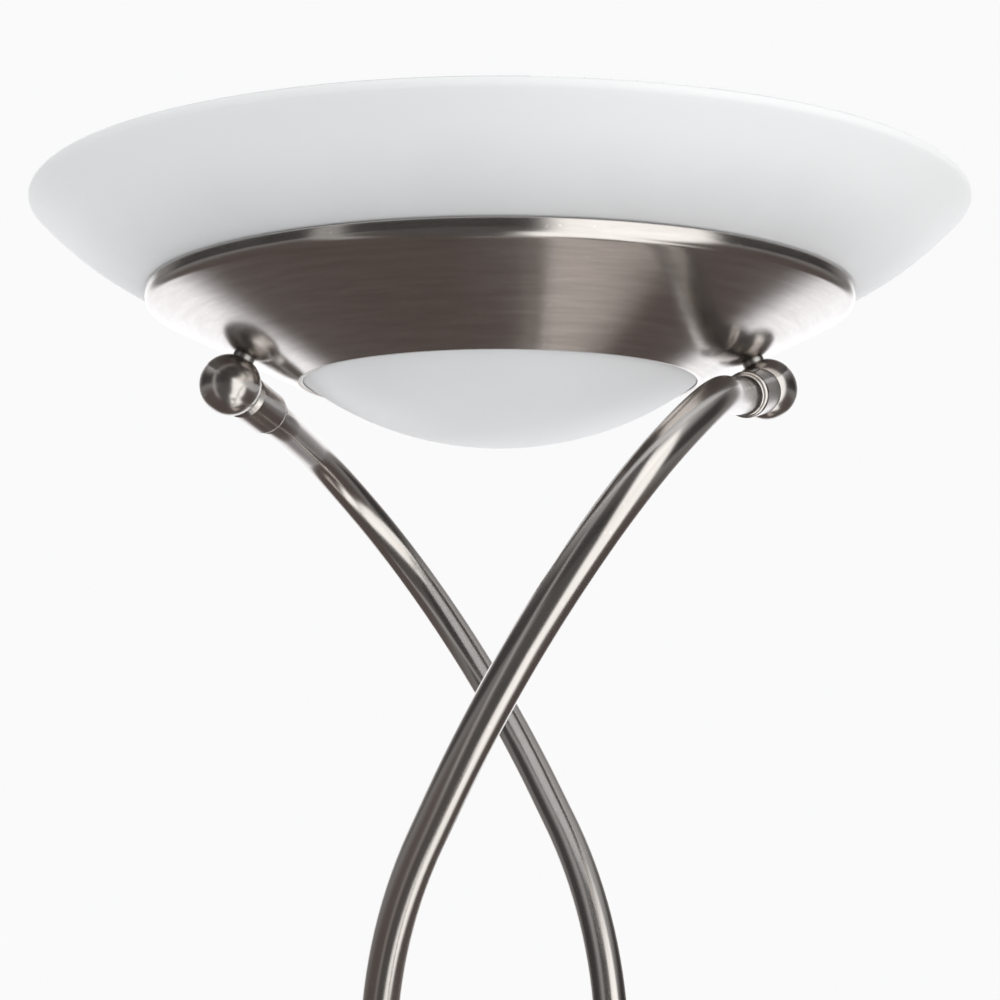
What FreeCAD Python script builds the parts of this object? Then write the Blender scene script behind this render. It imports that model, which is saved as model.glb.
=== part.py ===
import FreeCAD, Part
import math
import os

# Torchiere floor lamp with two crossing stems, an opal glass bowl over a spun metal
# funnel, a small opal lens under it, and a reading light on a swinging arm.
# Millimetres. Origin on the floor at the lamp's axis, +Z up, +X towards the right-hand
# ball of the head, -Y towards the front, where the knobs and the reading light are.

Vec = FreeCAD.Vector
X_AXIS = Vec(1, 0, 0)
Y_AXIS = Vec(0, 1, 0)
Z_AXIS = Vec(0, 0, 1)
ORIGIN = Vec(0, 0, 0)

# ---------------------------------------------------------------- driving dimensions
LAMP_HEIGHT = 1800.0

# clearances
SEAT_GAP = 0.3          # between pieces that rest on each other
RUNNING_GAP = 0.08      # radial, shaft in bore
FIT_GAP = 0.05          # radial, pressed or screwed pieces
SIDE_GAP = 0.2          # between flat faces that slide on each other

# glass bowl: mid-wall line of two tangent arcs, set by its slopes in degrees
BOWL_RADIUS = 210.0
BOWL_WALL = 5.5
BOWL_RIM_SLOPE = 46.5
BOWL_SEAT_SLOPE = 23.0
BOWL_SEAT_RADIUS = 157.0
BOWL_HOLE_SLOPE = 8.0
BOWL_HOLE_RADIUS = 90.0

# spun metal funnel that carries the bowl
FUNNEL_RADIUS = 159.0
FUNNEL_SHEET = 1.2
FUNNEL_BAND = 3.5       # height of the upright band at its rim
FUNNEL_EDGE_RADIUS = 5.0
FUNNEL_SLOPE = 25.6
FUNNEL_MOUTH_RADIUS = 90.8
FUNNEL_LIP = 1.6        # length of the inward turn at the mouth

# opal lens in the funnel's lower mouth
LENS_RADIUS = 95.0
LENS_SPHERE = 151.0
LENS_WALL = 4.0

# balls and collars under the funnel
BALL_RADIUS = 14.0
BALL_SEAT_RADIUS = 115.0    # from the lamp's axis to where a ball meets the funnel
NIPPLE_RADIUS = 5.0
NIPPLE_BORE = 3.4
NIPPLE_DEPTH = 9.0
COLLAR_RADIUS = 10.4
COLLAR_END = 40.0           # from the ball's centre to the collar's tube end
COLLAR_GRIP = 16.0          # length of tube inside the collar
COLLAR_RING = 3.0           # narrow ring at the tube end
COLLAR_TURN = 114.9         # heading of the right collar, degrees clockwise from +X
COLLAR_DIP = 12.4           # degrees below the horizon

# tubes
TUBE_RADIUS = 8.0
TUBE_WALL = 1.5
POLE_HALF_SPACING = 55.0
# Corners of the front stem's centre line above the poles: distance from the lamp's
# axis, degrees clockwise from +X as seen from above, drop below the rim of the bowl.
STEM_FIRST_RUN = 48.7
STEM_CORNERS = (
    (144.2, 56.3, 102.2),
    (160.2, 74.0, 140.8),
    (148.2, 85.5, 187.7),
    (123.8, 97.7, 238.0),
    (84.5, 128.1, 318.4),
)
STEM_UPRIGHT_DROP = 458.6

# base
BASE_RADIUS = 140.0
BASE_SHEET = 1.2
BASE_LIFT = 1.0             # cover's edge above the floor
BASE_BAND_TOP = 14.0
BASE_EDGE_RADIUS = 5.0
BASE_PLATEAU_RADIUS = 76.0
BASE_HEIGHT = 30.0
PAD_INSET = 7.0             # from the cover's edge in to the pad's
PAD_THICKNESS = 3.0
WEIGHT_INSET = 9.0          # from the cover's edge in to the weight's
WEIGHT_GAP = 1.5            # between the weight's cone and the cover's cone
FOOT_COLLAR_RADIUS = 15.0
FOOT_COLLAR_HEIGHT = 20.0
STUD_RADIUS = 5.0
STUD_GRIP = 45.0            # length of a stud's plug inside its tube
WASHER_THICKNESS = 1.2
WASHER_RADIUS = 10.0
NUT_HEIGHT = 5.0
NUT_FLAT = 8.0              # half of the width across flats
CORD_BUSH_RADIUS = 5.0
CORD_BORE = 3.0
CORD_CHANNEL = 10.0         # width of the channel for the cord in the weight

# poles
POLE_JOINT_HEIGHT = 590.0
JOINT_RING_RADIUS = 9.6
JOINT_RING_LENGTH = 10.0
COUPLER_HALF_LENGTH = 32.0
COUPLER_BORE = 4.2

# control bridge between the poles
BRIDGE_DROP = 654.0         # underside of the bridge, below the rim of the bowl
BRIDGE_HEIGHT = 34.0
BRIDGE_HALF_DEPTH = 17.0
BRIDGE_END_MARGIN = 17.0    # beyond the axis of each pole
BRIDGE_WALL = 2.0
BRIDGE_EDGE_RADIUS = 3.0
BRIDGE_SPLIT = 9.5          # y of the joint between housing and back cover
SLEEVE_WALL = 2.4
NOSE_RADIUS = 13.0
NOSE_REACH = 32.0           # from the poles' plane to the arm's swivel axis
SCREW_RADIUS = 1.5
SCREW_HEAD_RADIUS = 3.0
SCREW_HEAD_HEIGHT = 1.8
SCREW_LENGTH = 10.0

# dimmers and their knobs
DIMMER_OFFSET = 31.0
DIMMER_WIDTH = 19.0
DIMMER_DEPTH = 17.0
DIMMER_HEIGHT = 24.0
BUSHING_RADIUS = 4.0
BUSHING_REACH = 3.4         # in front of the housing
BUSHING_NUT_FLAT = 5.5
BUSHING_NUT_HEIGHT = 1.8
SHAFT_RADIUS = 3.0
KNOB_RADIUS = 9.0
KNOB_LENGTH = 13.0
KNOB_GAP = 0.8              # between knob and housing
KNOB_FLUTES = 18
KNOB_FLUTE_RADIUS = 0.9

# reading light's arm
SWIVEL_RADIUS = 9.0
SWIVEL_HEIGHT = 16.0
SWIVEL_STEM_RADIUS = 5.0
SWIVEL_STEM_BORE = 2.8
SWIVEL_WASHER = 1.0
ARM_TUBE_RADIUS = 5.0
ARM_TUBE_WALL = 1.0
ARM_RISE = 176.0            # from the bridge's top to the arm's highest corner
ARM_REACH = 172.0           # from the swivel's axis to the head's pivot
ARM_FORWARD = 108.0         # from the swivel's axis to the corner above the pivot
ARM_DROP = 46.0             # from the highest corner to the head's pivot
ARM_GRIP = 12.0

# reading light's head, along its own axis from the pivot
HEAD_LEAN = 22.0            # degrees forward of straight down at rest
EYE_RADIUS = 7.0
TONGUE_HALF = 2.6
EAR_THICKNESS = 3.0
PIVOT_RADIUS = 2.5
PIVOT_HEAD_RADIUS = 4.6
PIVOT_HEAD_HEIGHT = 2.4
NECK_RADIUS = 4.5
NECK_END = 16.0
CAP_RADIUS = 14.0
CAP_HEIGHT = 11.0
SHADE_SHEET = 1.0
SHADE_TOP_RADIUS = 15.5
SHADE_SLOPE = 48.0
SHADE_RADIUS = 52.0
SHADE_BAND = 4.0
SHADE_EDGE_RADIUS = 4.0
SHADE_LENS_WALL = 3.0
SHADE_LENS_SPHERE = 82.0
SOCKET_RADIUS = 10.5
SOCKET_LENGTH = 17.0
BULB_RADIUS = 6.5
BULB_LENGTH = 27.0
BULB_PIN_SPACING = 9.0
BULB_PIN_RADIUS = 0.8
HEAD_SCREW_RADIUS = 3.0

# carrier of the main lamp, inside the bowl
STRAP_THICKNESS = 2.0
STRAP_WIDTH = 20.0
STRAP_WALL_GAP = 0.55       # a flat strap on a hollow cone touches with its edges only
STRAP_OVER_LENS = 1.2
STRAP_FLANGE = 24.0
BRACKET_THICKNESS = 1.5
BRACKET_WIDTH = 16.0
BRACKET_SCREW_OFFSET = 38.0
LAMP_LIFT = 27.0            # lamp's axis above the strap
LAMP_LENGTH = 117.6
LAMP_RADIUS = 5.0
LAMP_CAP_RADIUS = 3.7
LAMP_CAP_LENGTH = 9.0
LAMP_NECK_RADIUS = 2.6      # pinched ends of the quartz tube
SOCKET_BLOCK_DEPTH = 14.0
SOCKET_BLOCK_WIDTH = 15.0
SOCKET_BLOCK_HEIGHT = 20.0
SOCKET_GRIP = 6.0

# ---------------------------------------------------------------- derived sizes
TUBE_BORE = TUBE_RADIUS - TUBE_WALL
PLUG_RADIUS = TUBE_BORE - FIT_GAP
BRIDGE_BOTTOM = LAMP_HEIGHT - BRIDGE_DROP
BRIDGE_TOP = BRIDGE_BOTTOM + BRIDGE_HEIGHT
BRIDGE_MIDDLE = BRIDGE_BOTTOM + BRIDGE_HEIGHT / 2
PAD_RADIUS = BASE_RADIUS - PAD_INSET
WEIGHT_RADIUS = BASE_RADIUS - WEIGHT_INSET
SIDES = (-1, 1)


# ---------------------------------------------------------------- helpers
def unit(vector):
    """The vector's direction, with length 1."""
    return Vec(vector).multiply(1.0 / vector.Length)


def point_rz(radius, height):
    """A point of a profile in the XZ half plane."""
    return Vec(radius, 0, height)


def on_slope(angle):
    """Unit vector along a slope of the profile, outwards and up, in the XZ plane."""
    return Vec(math.cos(math.radians(angle)), 0, math.sin(math.radians(angle)))


def under_slope(angle):
    """Unit normal of a slope of the profile, outwards and down, in the XZ plane."""
    return Vec(math.sin(math.radians(angle)), 0, -math.cos(math.radians(angle)))


def arc_edge(centre, start, end):
    """Arc about a centre from start to end, the shorter way round."""
    a = start - centre
    b = end - centre
    middle = unit(a + b).multiply((a.Length + b.Length) / 2)
    return Part.Arc(start, centre + middle, end).toShape()


def line_edge(start, end):
    return Part.LineSegment(start, end).toShape()


def revolved(edges, angle=360.0):
    """Solid of revolution about +Z of a closed profile in the XZ half plane."""
    wire = Part.Wire(Part.__sortEdges__(edges))
    return Part.Face(wire).revolve(ORIGIN, Z_AXIS, angle)


def turned(points):
    """Solid of revolution about +Z of a closed outline of straight lines (radius, height)."""
    corners = [point_rz(radius, height) for radius, height in points]
    corners.append(corners[0])
    return Part.Face(Part.makePolygon(corners)).revolve(ORIGIN, Z_AXIS, 360)


def rod(radius, start, end):
    """Round bar between two points."""
    run = end - start
    return Part.makeCylinder(radius, run.Length, start, run)


def ring(outer, inner, start, end):
    """Round tube between two points."""
    return rod(outer, start, end).cut(rod(inner, start, end))


def hexagon(flat, height, bore, base, axis):
    """Hexagonal nut with a round bore, its corners turned down, standing on base."""
    corner = flat / math.cos(math.radians(30))
    corners = []
    for step in range(7):
        angle = math.radians(60 * step)
        corners.append(Vec(corner * math.cos(angle), corner * math.sin(angle), 0))
    body = Part.Face(Part.makePolygon(corners)).extrude(Vec(0, 0, height))
    crown = turned(((0, -1), (corner - 0.5, -1), (corner + 1.0, height * 0.45),
                    (corner - 0.6, height), (0, height)))
    body = body.common(crown).cut(Part.makeCylinder(bore, height + 2, Vec(0, 0, -1)))
    return stood(body, base, axis)


def stood(shape, base, axis):
    """The shape, made about +Z from the origin, moved to base with +Z turned to axis."""
    moved = shape.copy()
    turn = FreeCAD.Rotation(Z_AXIS, axis)
    moved.Placement = FreeCAD.Placement(base, turn).multiply(moved.Placement)
    return moved


def half_turn(shape):
    """Copy of the shape turned 180 degrees about the lamp's axis."""
    copy = shape.copy()
    copy.rotate(ORIGIN, Z_AXIS, 180)
    return copy


def pair(shape):
    """The shape and its copy half a turn round the lamp, as one group."""
    return Part.Compound([shape, half_turn(shape)])


def group(shapes):
    return Part.Compound(list(shapes))


# A bent centre line is a list of runs: ("straight", start, end) and
# ("bend", start, centre, axis, degrees).
def bent_line(corners, first_straight, last_straight):
    """Straight runs joined by tangent arcs, each arc as large as its two runs allow."""
    runs = []
    position = corners[0]
    for index in range(1, len(corners) - 1):
        corner = corners[index]
        back = corners[index - 1] - corner
        ahead = corners[index + 1] - corner
        room_back = back.Length / 2 if index > 1 else back.Length - first_straight
        last = index == len(corners) - 2
        room_ahead = ahead.Length - last_straight if last else ahead.Length / 2
        tangent = min(room_back, room_ahead)
        turn = math.pi - back.getAngle(ahead)
        radius = tangent / math.tan(turn / 2)
        start = corner + unit(back) * tangent
        centre = corner + unit(unit(back) + unit(ahead)) * (radius / math.cos(turn / 2))
        axis = unit(back.cross(start - centre))
        if (start - position).Length > 0.01:
            runs.append(("straight", position, start))
        runs.append(("bend", start, centre, axis, math.degrees(turn)))
        position = corner + unit(ahead) * tangent
    if (corners[-1] - position).Length > 0.01:
        runs.append(("straight", position, corners[-1]))
    return runs


def bent_bar(runs, radius):
    """Round bar along a bent centre line."""
    pieces = []
    heading = unit(runs[0][2] - runs[0][1])
    for run in runs:
        if run[0] == "straight":
            pieces.append(rod(radius, run[1], run[2]))
            heading = unit(run[2] - run[1])
            continue
        kind, start, centre, axis, degrees = run
        section = Part.Face(Part.Wire(Part.makeCircle(radius, start, heading)))
        pieces.append(section.revolve(centre, axis, degrees))
        heading = FreeCAD.Rotation(axis, degrees).multVec(heading)
    return pieces[0].multiFuse(pieces[1:]).removeSplitter()


def bent_tube(runs, radius, wall):
    """Round tube along a bent centre line."""
    return bent_bar(runs, radius).cut(bent_bar(runs, radius - wall))


# ---------------------------------------------------------------- head: profile lines
class BowlLine:
    """Mid-wall line of the glass bowl: two arcs, tangent where it sits on the funnel."""

    def __init__(self):
        half = BOWL_WALL / 2
        self.rim = point_rz(BOWL_RADIUS - half, LAMP_HEIGHT - half)
        rim_normal = under_slope(BOWL_RIM_SLOPE)
        seat_normal = under_slope(BOWL_SEAT_SLOPE)
        hole_normal = under_slope(BOWL_HOLE_SLOPE)
        self.outer_radius = (self.rim.x - BOWL_SEAT_RADIUS) / (rim_normal.x - seat_normal.x)
        self.outer_centre = self.rim - rim_normal * self.outer_radius
        self.seat = self.outer_centre + seat_normal * self.outer_radius
        inner_run = self.seat.x - BOWL_HOLE_RADIUS
        self.inner_radius = inner_run / (seat_normal.x - hole_normal.x)
        self.inner_centre = self.seat - seat_normal * self.inner_radius
        self.hole = self.inner_centre + hole_normal * self.inner_radius
        self.normals = (rim_normal, seat_normal, hole_normal)

    def side(self, offset):
        """Points at the rim, the seat and the hole, offset below the mid-wall line."""
        places = (self.rim, self.seat, self.hole)
        return [place + normal * offset for place, normal in zip(places, self.normals)]


BOWL = BowlLine()
BOWL_SEAT = BOWL.side(BOWL_WALL / 2)[1]

# the funnel's outer line, from its rim down to its mouth
FUNNEL_TOP = BOWL_SEAT.z - SEAT_GAP
FUNNEL_CORNER = FUNNEL_TOP - FUNNEL_BAND - FUNNEL_EDGE_RADIUS * math.tan(
    math.radians((90 - FUNNEL_SLOPE) / 2))
FUNNEL_MOUTH = FUNNEL_CORNER - (FUNNEL_RADIUS - FUNNEL_MOUTH_RADIUS) * math.tan(
    math.radians(FUNNEL_SLOPE))


def funnel_outside(radius):
    """Point of the funnel's outer wall at a distance from the lamp's axis."""
    rise = (radius - FUNNEL_MOUTH_RADIUS) * math.tan(math.radians(FUNNEL_SLOPE))
    return point_rz(radius, FUNNEL_MOUTH + rise)


FUNNEL_DOWN = under_slope(FUNNEL_SLOPE)
FUNNEL_UP = Vec(FUNNEL_DOWN).multiply(-1)
BALL_SEAT = funnel_outside(BALL_SEAT_RADIUS)
BALL_CENTRE = BALL_SEAT + FUNNEL_DOWN * (BALL_RADIUS + FIT_GAP)
COLLAR_AXIS = Vec(
    math.cos(math.radians(COLLAR_TURN)) * math.cos(math.radians(COLLAR_DIP)),
    -math.sin(math.radians(COLLAR_TURN)) * math.cos(math.radians(COLLAR_DIP)),
    -math.sin(math.radians(COLLAR_DIP)))


# ---------------------------------------------------------------- head: pieces
def glass_bowl():
    """Wide opal dish with a fire-rounded lip and a round hole in its middle."""
    half = BOWL_WALL / 2
    low = BOWL.side(half)
    high = BOWL.side(-half)
    lip_middle = BOWL.rim + on_slope(BOWL_RIM_SLOPE) * half
    edges = [
        arc_edge(BOWL.outer_centre, low[0], low[1]),
        arc_edge(BOWL.inner_centre, low[1], low[2]),
        line_edge(low[2], high[2]),
        arc_edge(BOWL.inner_centre, high[2], high[1]),
        arc_edge(BOWL.outer_centre, high[1], high[0]),
        Part.Arc(high[0], lip_middle, low[0]).toShape(),
    ]
    return revolved(edges)


def metal_funnel():
    """Spun cone with an upright band at its rim and a short inward lip at its mouth."""
    sheet = FUNNEL_SHEET
    edge = FUNNEL_EDGE_RADIUS
    along = on_slope(FUNNEL_SLOPE)
    corner_centre = point_rz(FUNNEL_RADIUS - edge, FUNNEL_TOP - FUNNEL_BAND)
    outer_low = corner_centre + FUNNEL_DOWN * edge
    inner_low = corner_centre + FUNNEL_DOWN * (edge - sheet)
    outer_high = corner_centre + X_AXIS * edge
    inner_high = corner_centre + X_AXIS * (edge - sheet)
    mouth_outer = funnel_outside(FUNNEL_MOUTH_RADIUS)
    mouth_inner = mouth_outer + FUNNEL_UP * sheet
    lip_outer = mouth_outer - X_AXIS * FUNNEL_LIP
    lip_inner = lip_outer + Z_AXIS * sheet
    turn_inner = point_rz(mouth_inner.x - (mouth_inner.z - lip_inner.z) / along.z * along.x,
                          lip_inner.z)
    top_outer = point_rz(FUNNEL_RADIUS, FUNNEL_TOP - sheet / 2)
    top_inner = point_rz(FUNNEL_RADIUS - sheet, FUNNEL_TOP - sheet / 2)
    top_middle = point_rz(FUNNEL_RADIUS - sheet / 2, FUNNEL_TOP)
    lip_end = point_rz(lip_outer.x - sheet / 2, lip_outer.z + sheet / 2)
    edges = [
        line_edge(mouth_outer, outer_low),
        arc_edge(corner_centre, outer_low, outer_high),
        line_edge(outer_high, top_outer),
        Part.Arc(top_outer, top_middle, top_inner).toShape(),
        line_edge(top_inner, inner_high),
        arc_edge(corner_centre, inner_high, inner_low),
        line_edge(inner_low, turn_inner),
        line_edge(turn_inner, lip_inner),
        Part.Arc(lip_inner, lip_end, lip_outer).toShape(),
        line_edge(lip_outer, mouth_outer),
    ]
    funnel = revolved(edges)
    for hole in head_bores(NIPPLE_RADIUS + FIT_GAP):
        funnel = funnel.cut(hole)
    return funnel


def head_bores(radius):
    """Round bars along the two nipples, to cut their holes in funnel and strap with."""
    past_strap = strap_underside() + 2 * STRAP_THICKNESS
    bore = rod(radius, BALL_CENTRE, BALL_CENTRE + FUNNEL_UP * past_strap)
    return (bore, half_turn(bore))


def lens_centre():
    """Centre of the lens's outer sphere: it clears the funnel's lip by the seat gap."""
    lip = point_rz(FUNNEL_MOUTH_RADIUS - FUNNEL_LIP, FUNNEL_MOUTH + FUNNEL_SHEET)
    inner_wall = funnel_outside(LENS_RADIUS) + FUNNEL_UP * FUNNEL_SHEET
    heights = []
    for place in (lip, inner_wall):
        heights.append(place.z + SEAT_GAP + math.sqrt(LENS_SPHERE ** 2 - place.x ** 2))
    return point_rz(0, max(heights))


def lower_lens():
    """Opal spherical dish that closes the funnel's mouth from inside."""
    centre = lens_centre()
    inner = LENS_SPHERE - LENS_WALL
    spread = math.asin(LENS_RADIUS / LENS_SPHERE)
    outward = Vec(math.sin(spread), 0, -math.cos(spread))
    edges = [
        arc_edge(centre, centre - Z_AXIS * LENS_SPHERE, centre + outward * LENS_SPHERE),
        line_edge(centre + outward * LENS_SPHERE, centre + outward * inner),
        arc_edge(centre, centre + outward * inner, centre - Z_AXIS * inner),
        line_edge(centre - Z_AXIS * inner, centre - Z_AXIS * LENS_SPHERE),
    ]
    return revolved(edges)


def ball():
    """Solid ball, bored for the nipple above and for the collar's stud at its side."""
    body = Part.makeSphere(BALL_RADIUS, BALL_CENTRE)
    top = BALL_CENTRE + FUNNEL_UP * BALL_RADIUS
    body = body.cut(rod(NIPPLE_RADIUS + FIT_GAP, BALL_CENTRE + FUNNEL_UP * nipple_bottom(),
                        top + FUNNEL_UP))
    side = BALL_CENTRE + COLLAR_AXIS * BALL_RADIUS
    body = body.cut(rod(STUD_RADIUS + FIT_GAP, BALL_CENTRE + COLLAR_AXIS * nipple_bottom(),
                        side + COLLAR_AXIS))
    return body.cut(rod(NIPPLE_BORE, BALL_CENTRE, top)).cut(rod(NIPPLE_BORE, BALL_CENTRE, side))


def nipple_bottom():
    """Distance from the ball's centre to the end of either screwed piece."""
    return BALL_RADIUS - NIPPLE_DEPTH


def strap_underside():
    """Distance along the nipple from the ball's centre to the strap."""
    return BALL_RADIUS + FIT_GAP + FUNNEL_SHEET + STRAP_WALL_GAP


def ball_nipple():
    """Hollow screwed nipple from the ball up through funnel, strap, washer and nut."""
    top = strap_underside() + STRAP_THICKNESS + WASHER_THICKNESS + NUT_HEIGHT
    start = BALL_CENTRE + FUNNEL_UP * (nipple_bottom() + FIT_GAP)
    end = BALL_CENTRE + FUNNEL_UP * top
    return ring(NIPPLE_RADIUS, NIPPLE_BORE, start, end)


def nipple_washer():
    start = BALL_CENTRE + FUNNEL_UP * (strap_underside() + STRAP_THICKNESS)
    bore = NIPPLE_RADIUS + RUNNING_GAP
    return ring(WASHER_RADIUS - 1, bore, start, start + FUNNEL_UP * WASHER_THICKNESS)


def nipple_nut():
    reach = strap_underside() + STRAP_THICKNESS + WASHER_THICKNESS
    base = BALL_CENTRE + FUNNEL_UP * reach
    return hexagon(NUT_FLAT - 1, NUT_HEIGHT - 1, NIPPLE_RADIUS + FIT_GAP, base, FUNNEL_UP)


def stem_collar():
    """Turned collar from ball to tube: body, rounded shoulder and a narrow ring."""
    start = math.sqrt(BALL_RADIUS ** 2 - (STUD_RADIUS + 2) ** 2) + FIT_GAP
    body_end = COLLAR_END - COLLAR_RING
    shoulder = 2.0
    ring_radius = COLLAR_RADIUS - 1.2
    centre = point_rz(COLLAR_RADIUS - shoulder, body_end - shoulder)
    edges = [
        line_edge(point_rz(0, start), point_rz(COLLAR_RADIUS - 1.4, start)),
        line_edge(point_rz(COLLAR_RADIUS - 1.4, start), point_rz(COLLAR_RADIUS, start + 2.2)),
        line_edge(point_rz(COLLAR_RADIUS, start + 2.2), centre + X_AXIS * shoulder),
        arc_edge(centre, centre + X_AXIS * shoulder, centre + Z_AXIS * shoulder),
        line_edge(centre + Z_AXIS * shoulder, point_rz(ring_radius - 0.6, body_end)),
        line_edge(point_rz(ring_radius - 0.6, body_end), point_rz(ring_radius, body_end + 0.6)),
        line_edge(point_rz(ring_radius, body_end + 0.6), point_rz(ring_radius, COLLAR_END - 0.4)),
        line_edge(point_rz(ring_radius, COLLAR_END - 0.4), point_rz(ring_radius - 0.4, COLLAR_END)),
        line_edge(point_rz(ring_radius - 0.4, COLLAR_END), point_rz(0, COLLAR_END)),
        line_edge(point_rz(0, COLLAR_END), point_rz(0, start)),
    ]
    body = revolved(edges)
    grip = Part.makeCylinder(TUBE_RADIUS + FIT_GAP, COLLAR_GRIP + 1,
                             Vec(0, 0, COLLAR_END - COLLAR_GRIP))
    body = body.cut(grip).cut(Part.makeCylinder(STUD_RADIUS + FIT_GAP, COLLAR_END))
    body = body.cut(Part.makeSphere(BALL_RADIUS + FIT_GAP))
    return stood(body, BALL_CENTRE, COLLAR_AXIS)


def collar_stud():
    """Hollow screwed stud that joins ball, collar and the plug inside the tube."""
    start = BALL_CENTRE + COLLAR_AXIS * (nipple_bottom() + FIT_GAP)
    end = BALL_CENTRE + COLLAR_AXIS * (COLLAR_END - COLLAR_GRIP)
    thin = ring(STUD_RADIUS, NIPPLE_BORE, start, end)
    plug = ring(PLUG_RADIUS, NIPPLE_BORE, end, end + COLLAR_AXIS * COLLAR_GRIP * 0.75)
    return thin.fuse(plug).removeSplitter()


def stem_corners():
    """Corners of the front stem's centre line, from its collar down into the bridge."""
    start = BALL_CENTRE + COLLAR_AXIS * (COLLAR_END - COLLAR_GRIP + FIT_GAP)
    corners = [start, BALL_CENTRE + COLLAR_AXIS * STEM_FIRST_RUN]
    for radius, angle, drop in STEM_CORNERS:
        turn = math.radians(angle)
        corners.append(Vec(radius * math.cos(turn), -radius * math.sin(turn),
                           LAMP_HEIGHT - drop))
    corners.append(Vec(-POLE_HALF_SPACING, 0, LAMP_HEIGHT - STEM_UPRIGHT_DROP))
    corners.append(Vec(-POLE_HALF_SPACING, 0, BRIDGE_MIDDLE + SEAT_GAP / 2))
    return corners


def front_stem():
    """Tube from the left pole, round the front, up to the right-hand ball."""
    corners = stem_corners()
    upright = (corners[-1] - corners[-2]).Length
    slant = (corners[-2] - corners[-3]).Length
    straight = max(upright - slant / 2, upright / 2)
    return bent_tube(bent_line(corners, COLLAR_GRIP, straight), TUBE_RADIUS, TUBE_WALL)


# ---------------------------------------------------------------- head: lamp carrier
def strap_height():
    """Height of the underside of the strap's flat middle, over the lens's edge."""
    centre = lens_centre()
    edge = centre.z - math.sqrt((LENS_SPHERE - LENS_WALL) ** 2
                                - (LENS_RADIUS - LENS_WALL) ** 2)
    return edge + STRAP_OVER_LENS


def head_strap():
    """Flat strap across the funnel, its ends bent up along the inner wall."""
    lift = BALL_SEAT + FUNNEL_UP * (FUNNEL_SHEET + STRAP_WALL_GAP)
    along = on_slope(FUNNEL_SLOPE)
    low = strap_height()
    bend = lift - along * ((lift.z - low) / along.z)
    tip = bend + along * STRAP_FLANGE
    top_bend = bend + Vec(-STRAP_THICKNESS * math.tan(math.radians(FUNNEL_SLOPE / 2)), 0,
                          STRAP_THICKNESS)
    top_tip = tip + FUNNEL_UP * STRAP_THICKNESS
    right = [bend, tip, top_tip, top_bend]
    left = [Vec(-place.x, 0, place.z) for place in reversed(right)]
    outline = Part.makePolygon(right + left + [right[0]])
    strap = Part.Face(outline).extrude(Y_AXIS * STRAP_WIDTH)
    strap.translate(Y_AXIS * (-STRAP_WIDTH / 2))
    for hole in head_bores(NIPPLE_RADIUS + RUNNING_GAP):
        strap = strap.cut(hole)
    for side in SIDES:
        start = Vec(side * BRACKET_SCREW_OFFSET, 0, low - 1)
        hole = rod(SCREW_RADIUS + RUNNING_GAP, start, start + Z_AXIS * (STRAP_THICKNESS + 2))
        strap = strap.cut(hole)
    return strap


def lamp_axis_height():
    return strap_height() + STRAP_THICKNESS + LAMP_LIFT


def socket_inner_face():
    """Distance from the lamp's middle to the inner face of each socket."""
    return LAMP_LENGTH / 2 - SOCKET_GRIP


def lamp_bracket():
    """Folded channel on the strap, with an ear outside each socket."""
    base = strap_height() + STRAP_THICKNESS
    outer = socket_inner_face() + SOCKET_BLOCK_DEPTH + BRACKET_THICKNESS
    height = LAMP_LIFT + SOCKET_BLOCK_HEIGHT / 2
    body = Part.makeBox(2 * outer, BRACKET_WIDTH, height, Vec(-outer, -BRACKET_WIDTH / 2, base))
    outside = [edge for edge in body.Edges
               if abs(edge.CenterOfMass.z - base) < 0.01 and abs(edge.CenterOfMass.y) < 0.01]
    body = body.makeFillet(2 * BRACKET_THICKNESS, outside)
    inner = outer - BRACKET_THICKNESS
    hollow = Part.makeBox(2 * inner, BRACKET_WIDTH + 2, height,
                          Vec(-inner, -BRACKET_WIDTH / 2 - 1, base + BRACKET_THICKNESS))
    inside = [edge for edge in hollow.Edges
              if abs(edge.CenterOfMass.z - base - BRACKET_THICKNESS) < 0.01
              and abs(edge.CenterOfMass.y) < 0.01]
    body = body.cut(hollow.makeFillet(BRACKET_THICKNESS, inside))
    for side in SIDES:
        start = Vec(side * BRACKET_SCREW_OFFSET, 0, base - 1)
        body = body.cut(rod(SCREW_RADIUS + RUNNING_GAP, start, start + Z_AXIS * 5))
    return body


def bracket_screw(side):
    """Pan-head screw down through bracket and strap, with its nut under the strap."""
    top = strap_height() + STRAP_THICKNESS + BRACKET_THICKNESS
    base = Vec(side * BRACKET_SCREW_OFFSET, 0, top)
    head = Part.makeCylinder(SCREW_HEAD_RADIUS, SCREW_HEAD_HEIGHT, base)
    head = head.makeFillet(SCREW_HEAD_HEIGHT * 0.6, [head.Edges[0]])
    return head.fuse(rod(SCREW_RADIUS, base, base - Z_AXIS * SCREW_LENGTH)).removeSplitter()


def bracket_nut(side):
    base = Vec(side * BRACKET_SCREW_OFFSET, 0, strap_height())
    return hexagon(2.75, 2.4, SCREW_RADIUS + FIT_GAP, base, Z_AXIS * -1)


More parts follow.
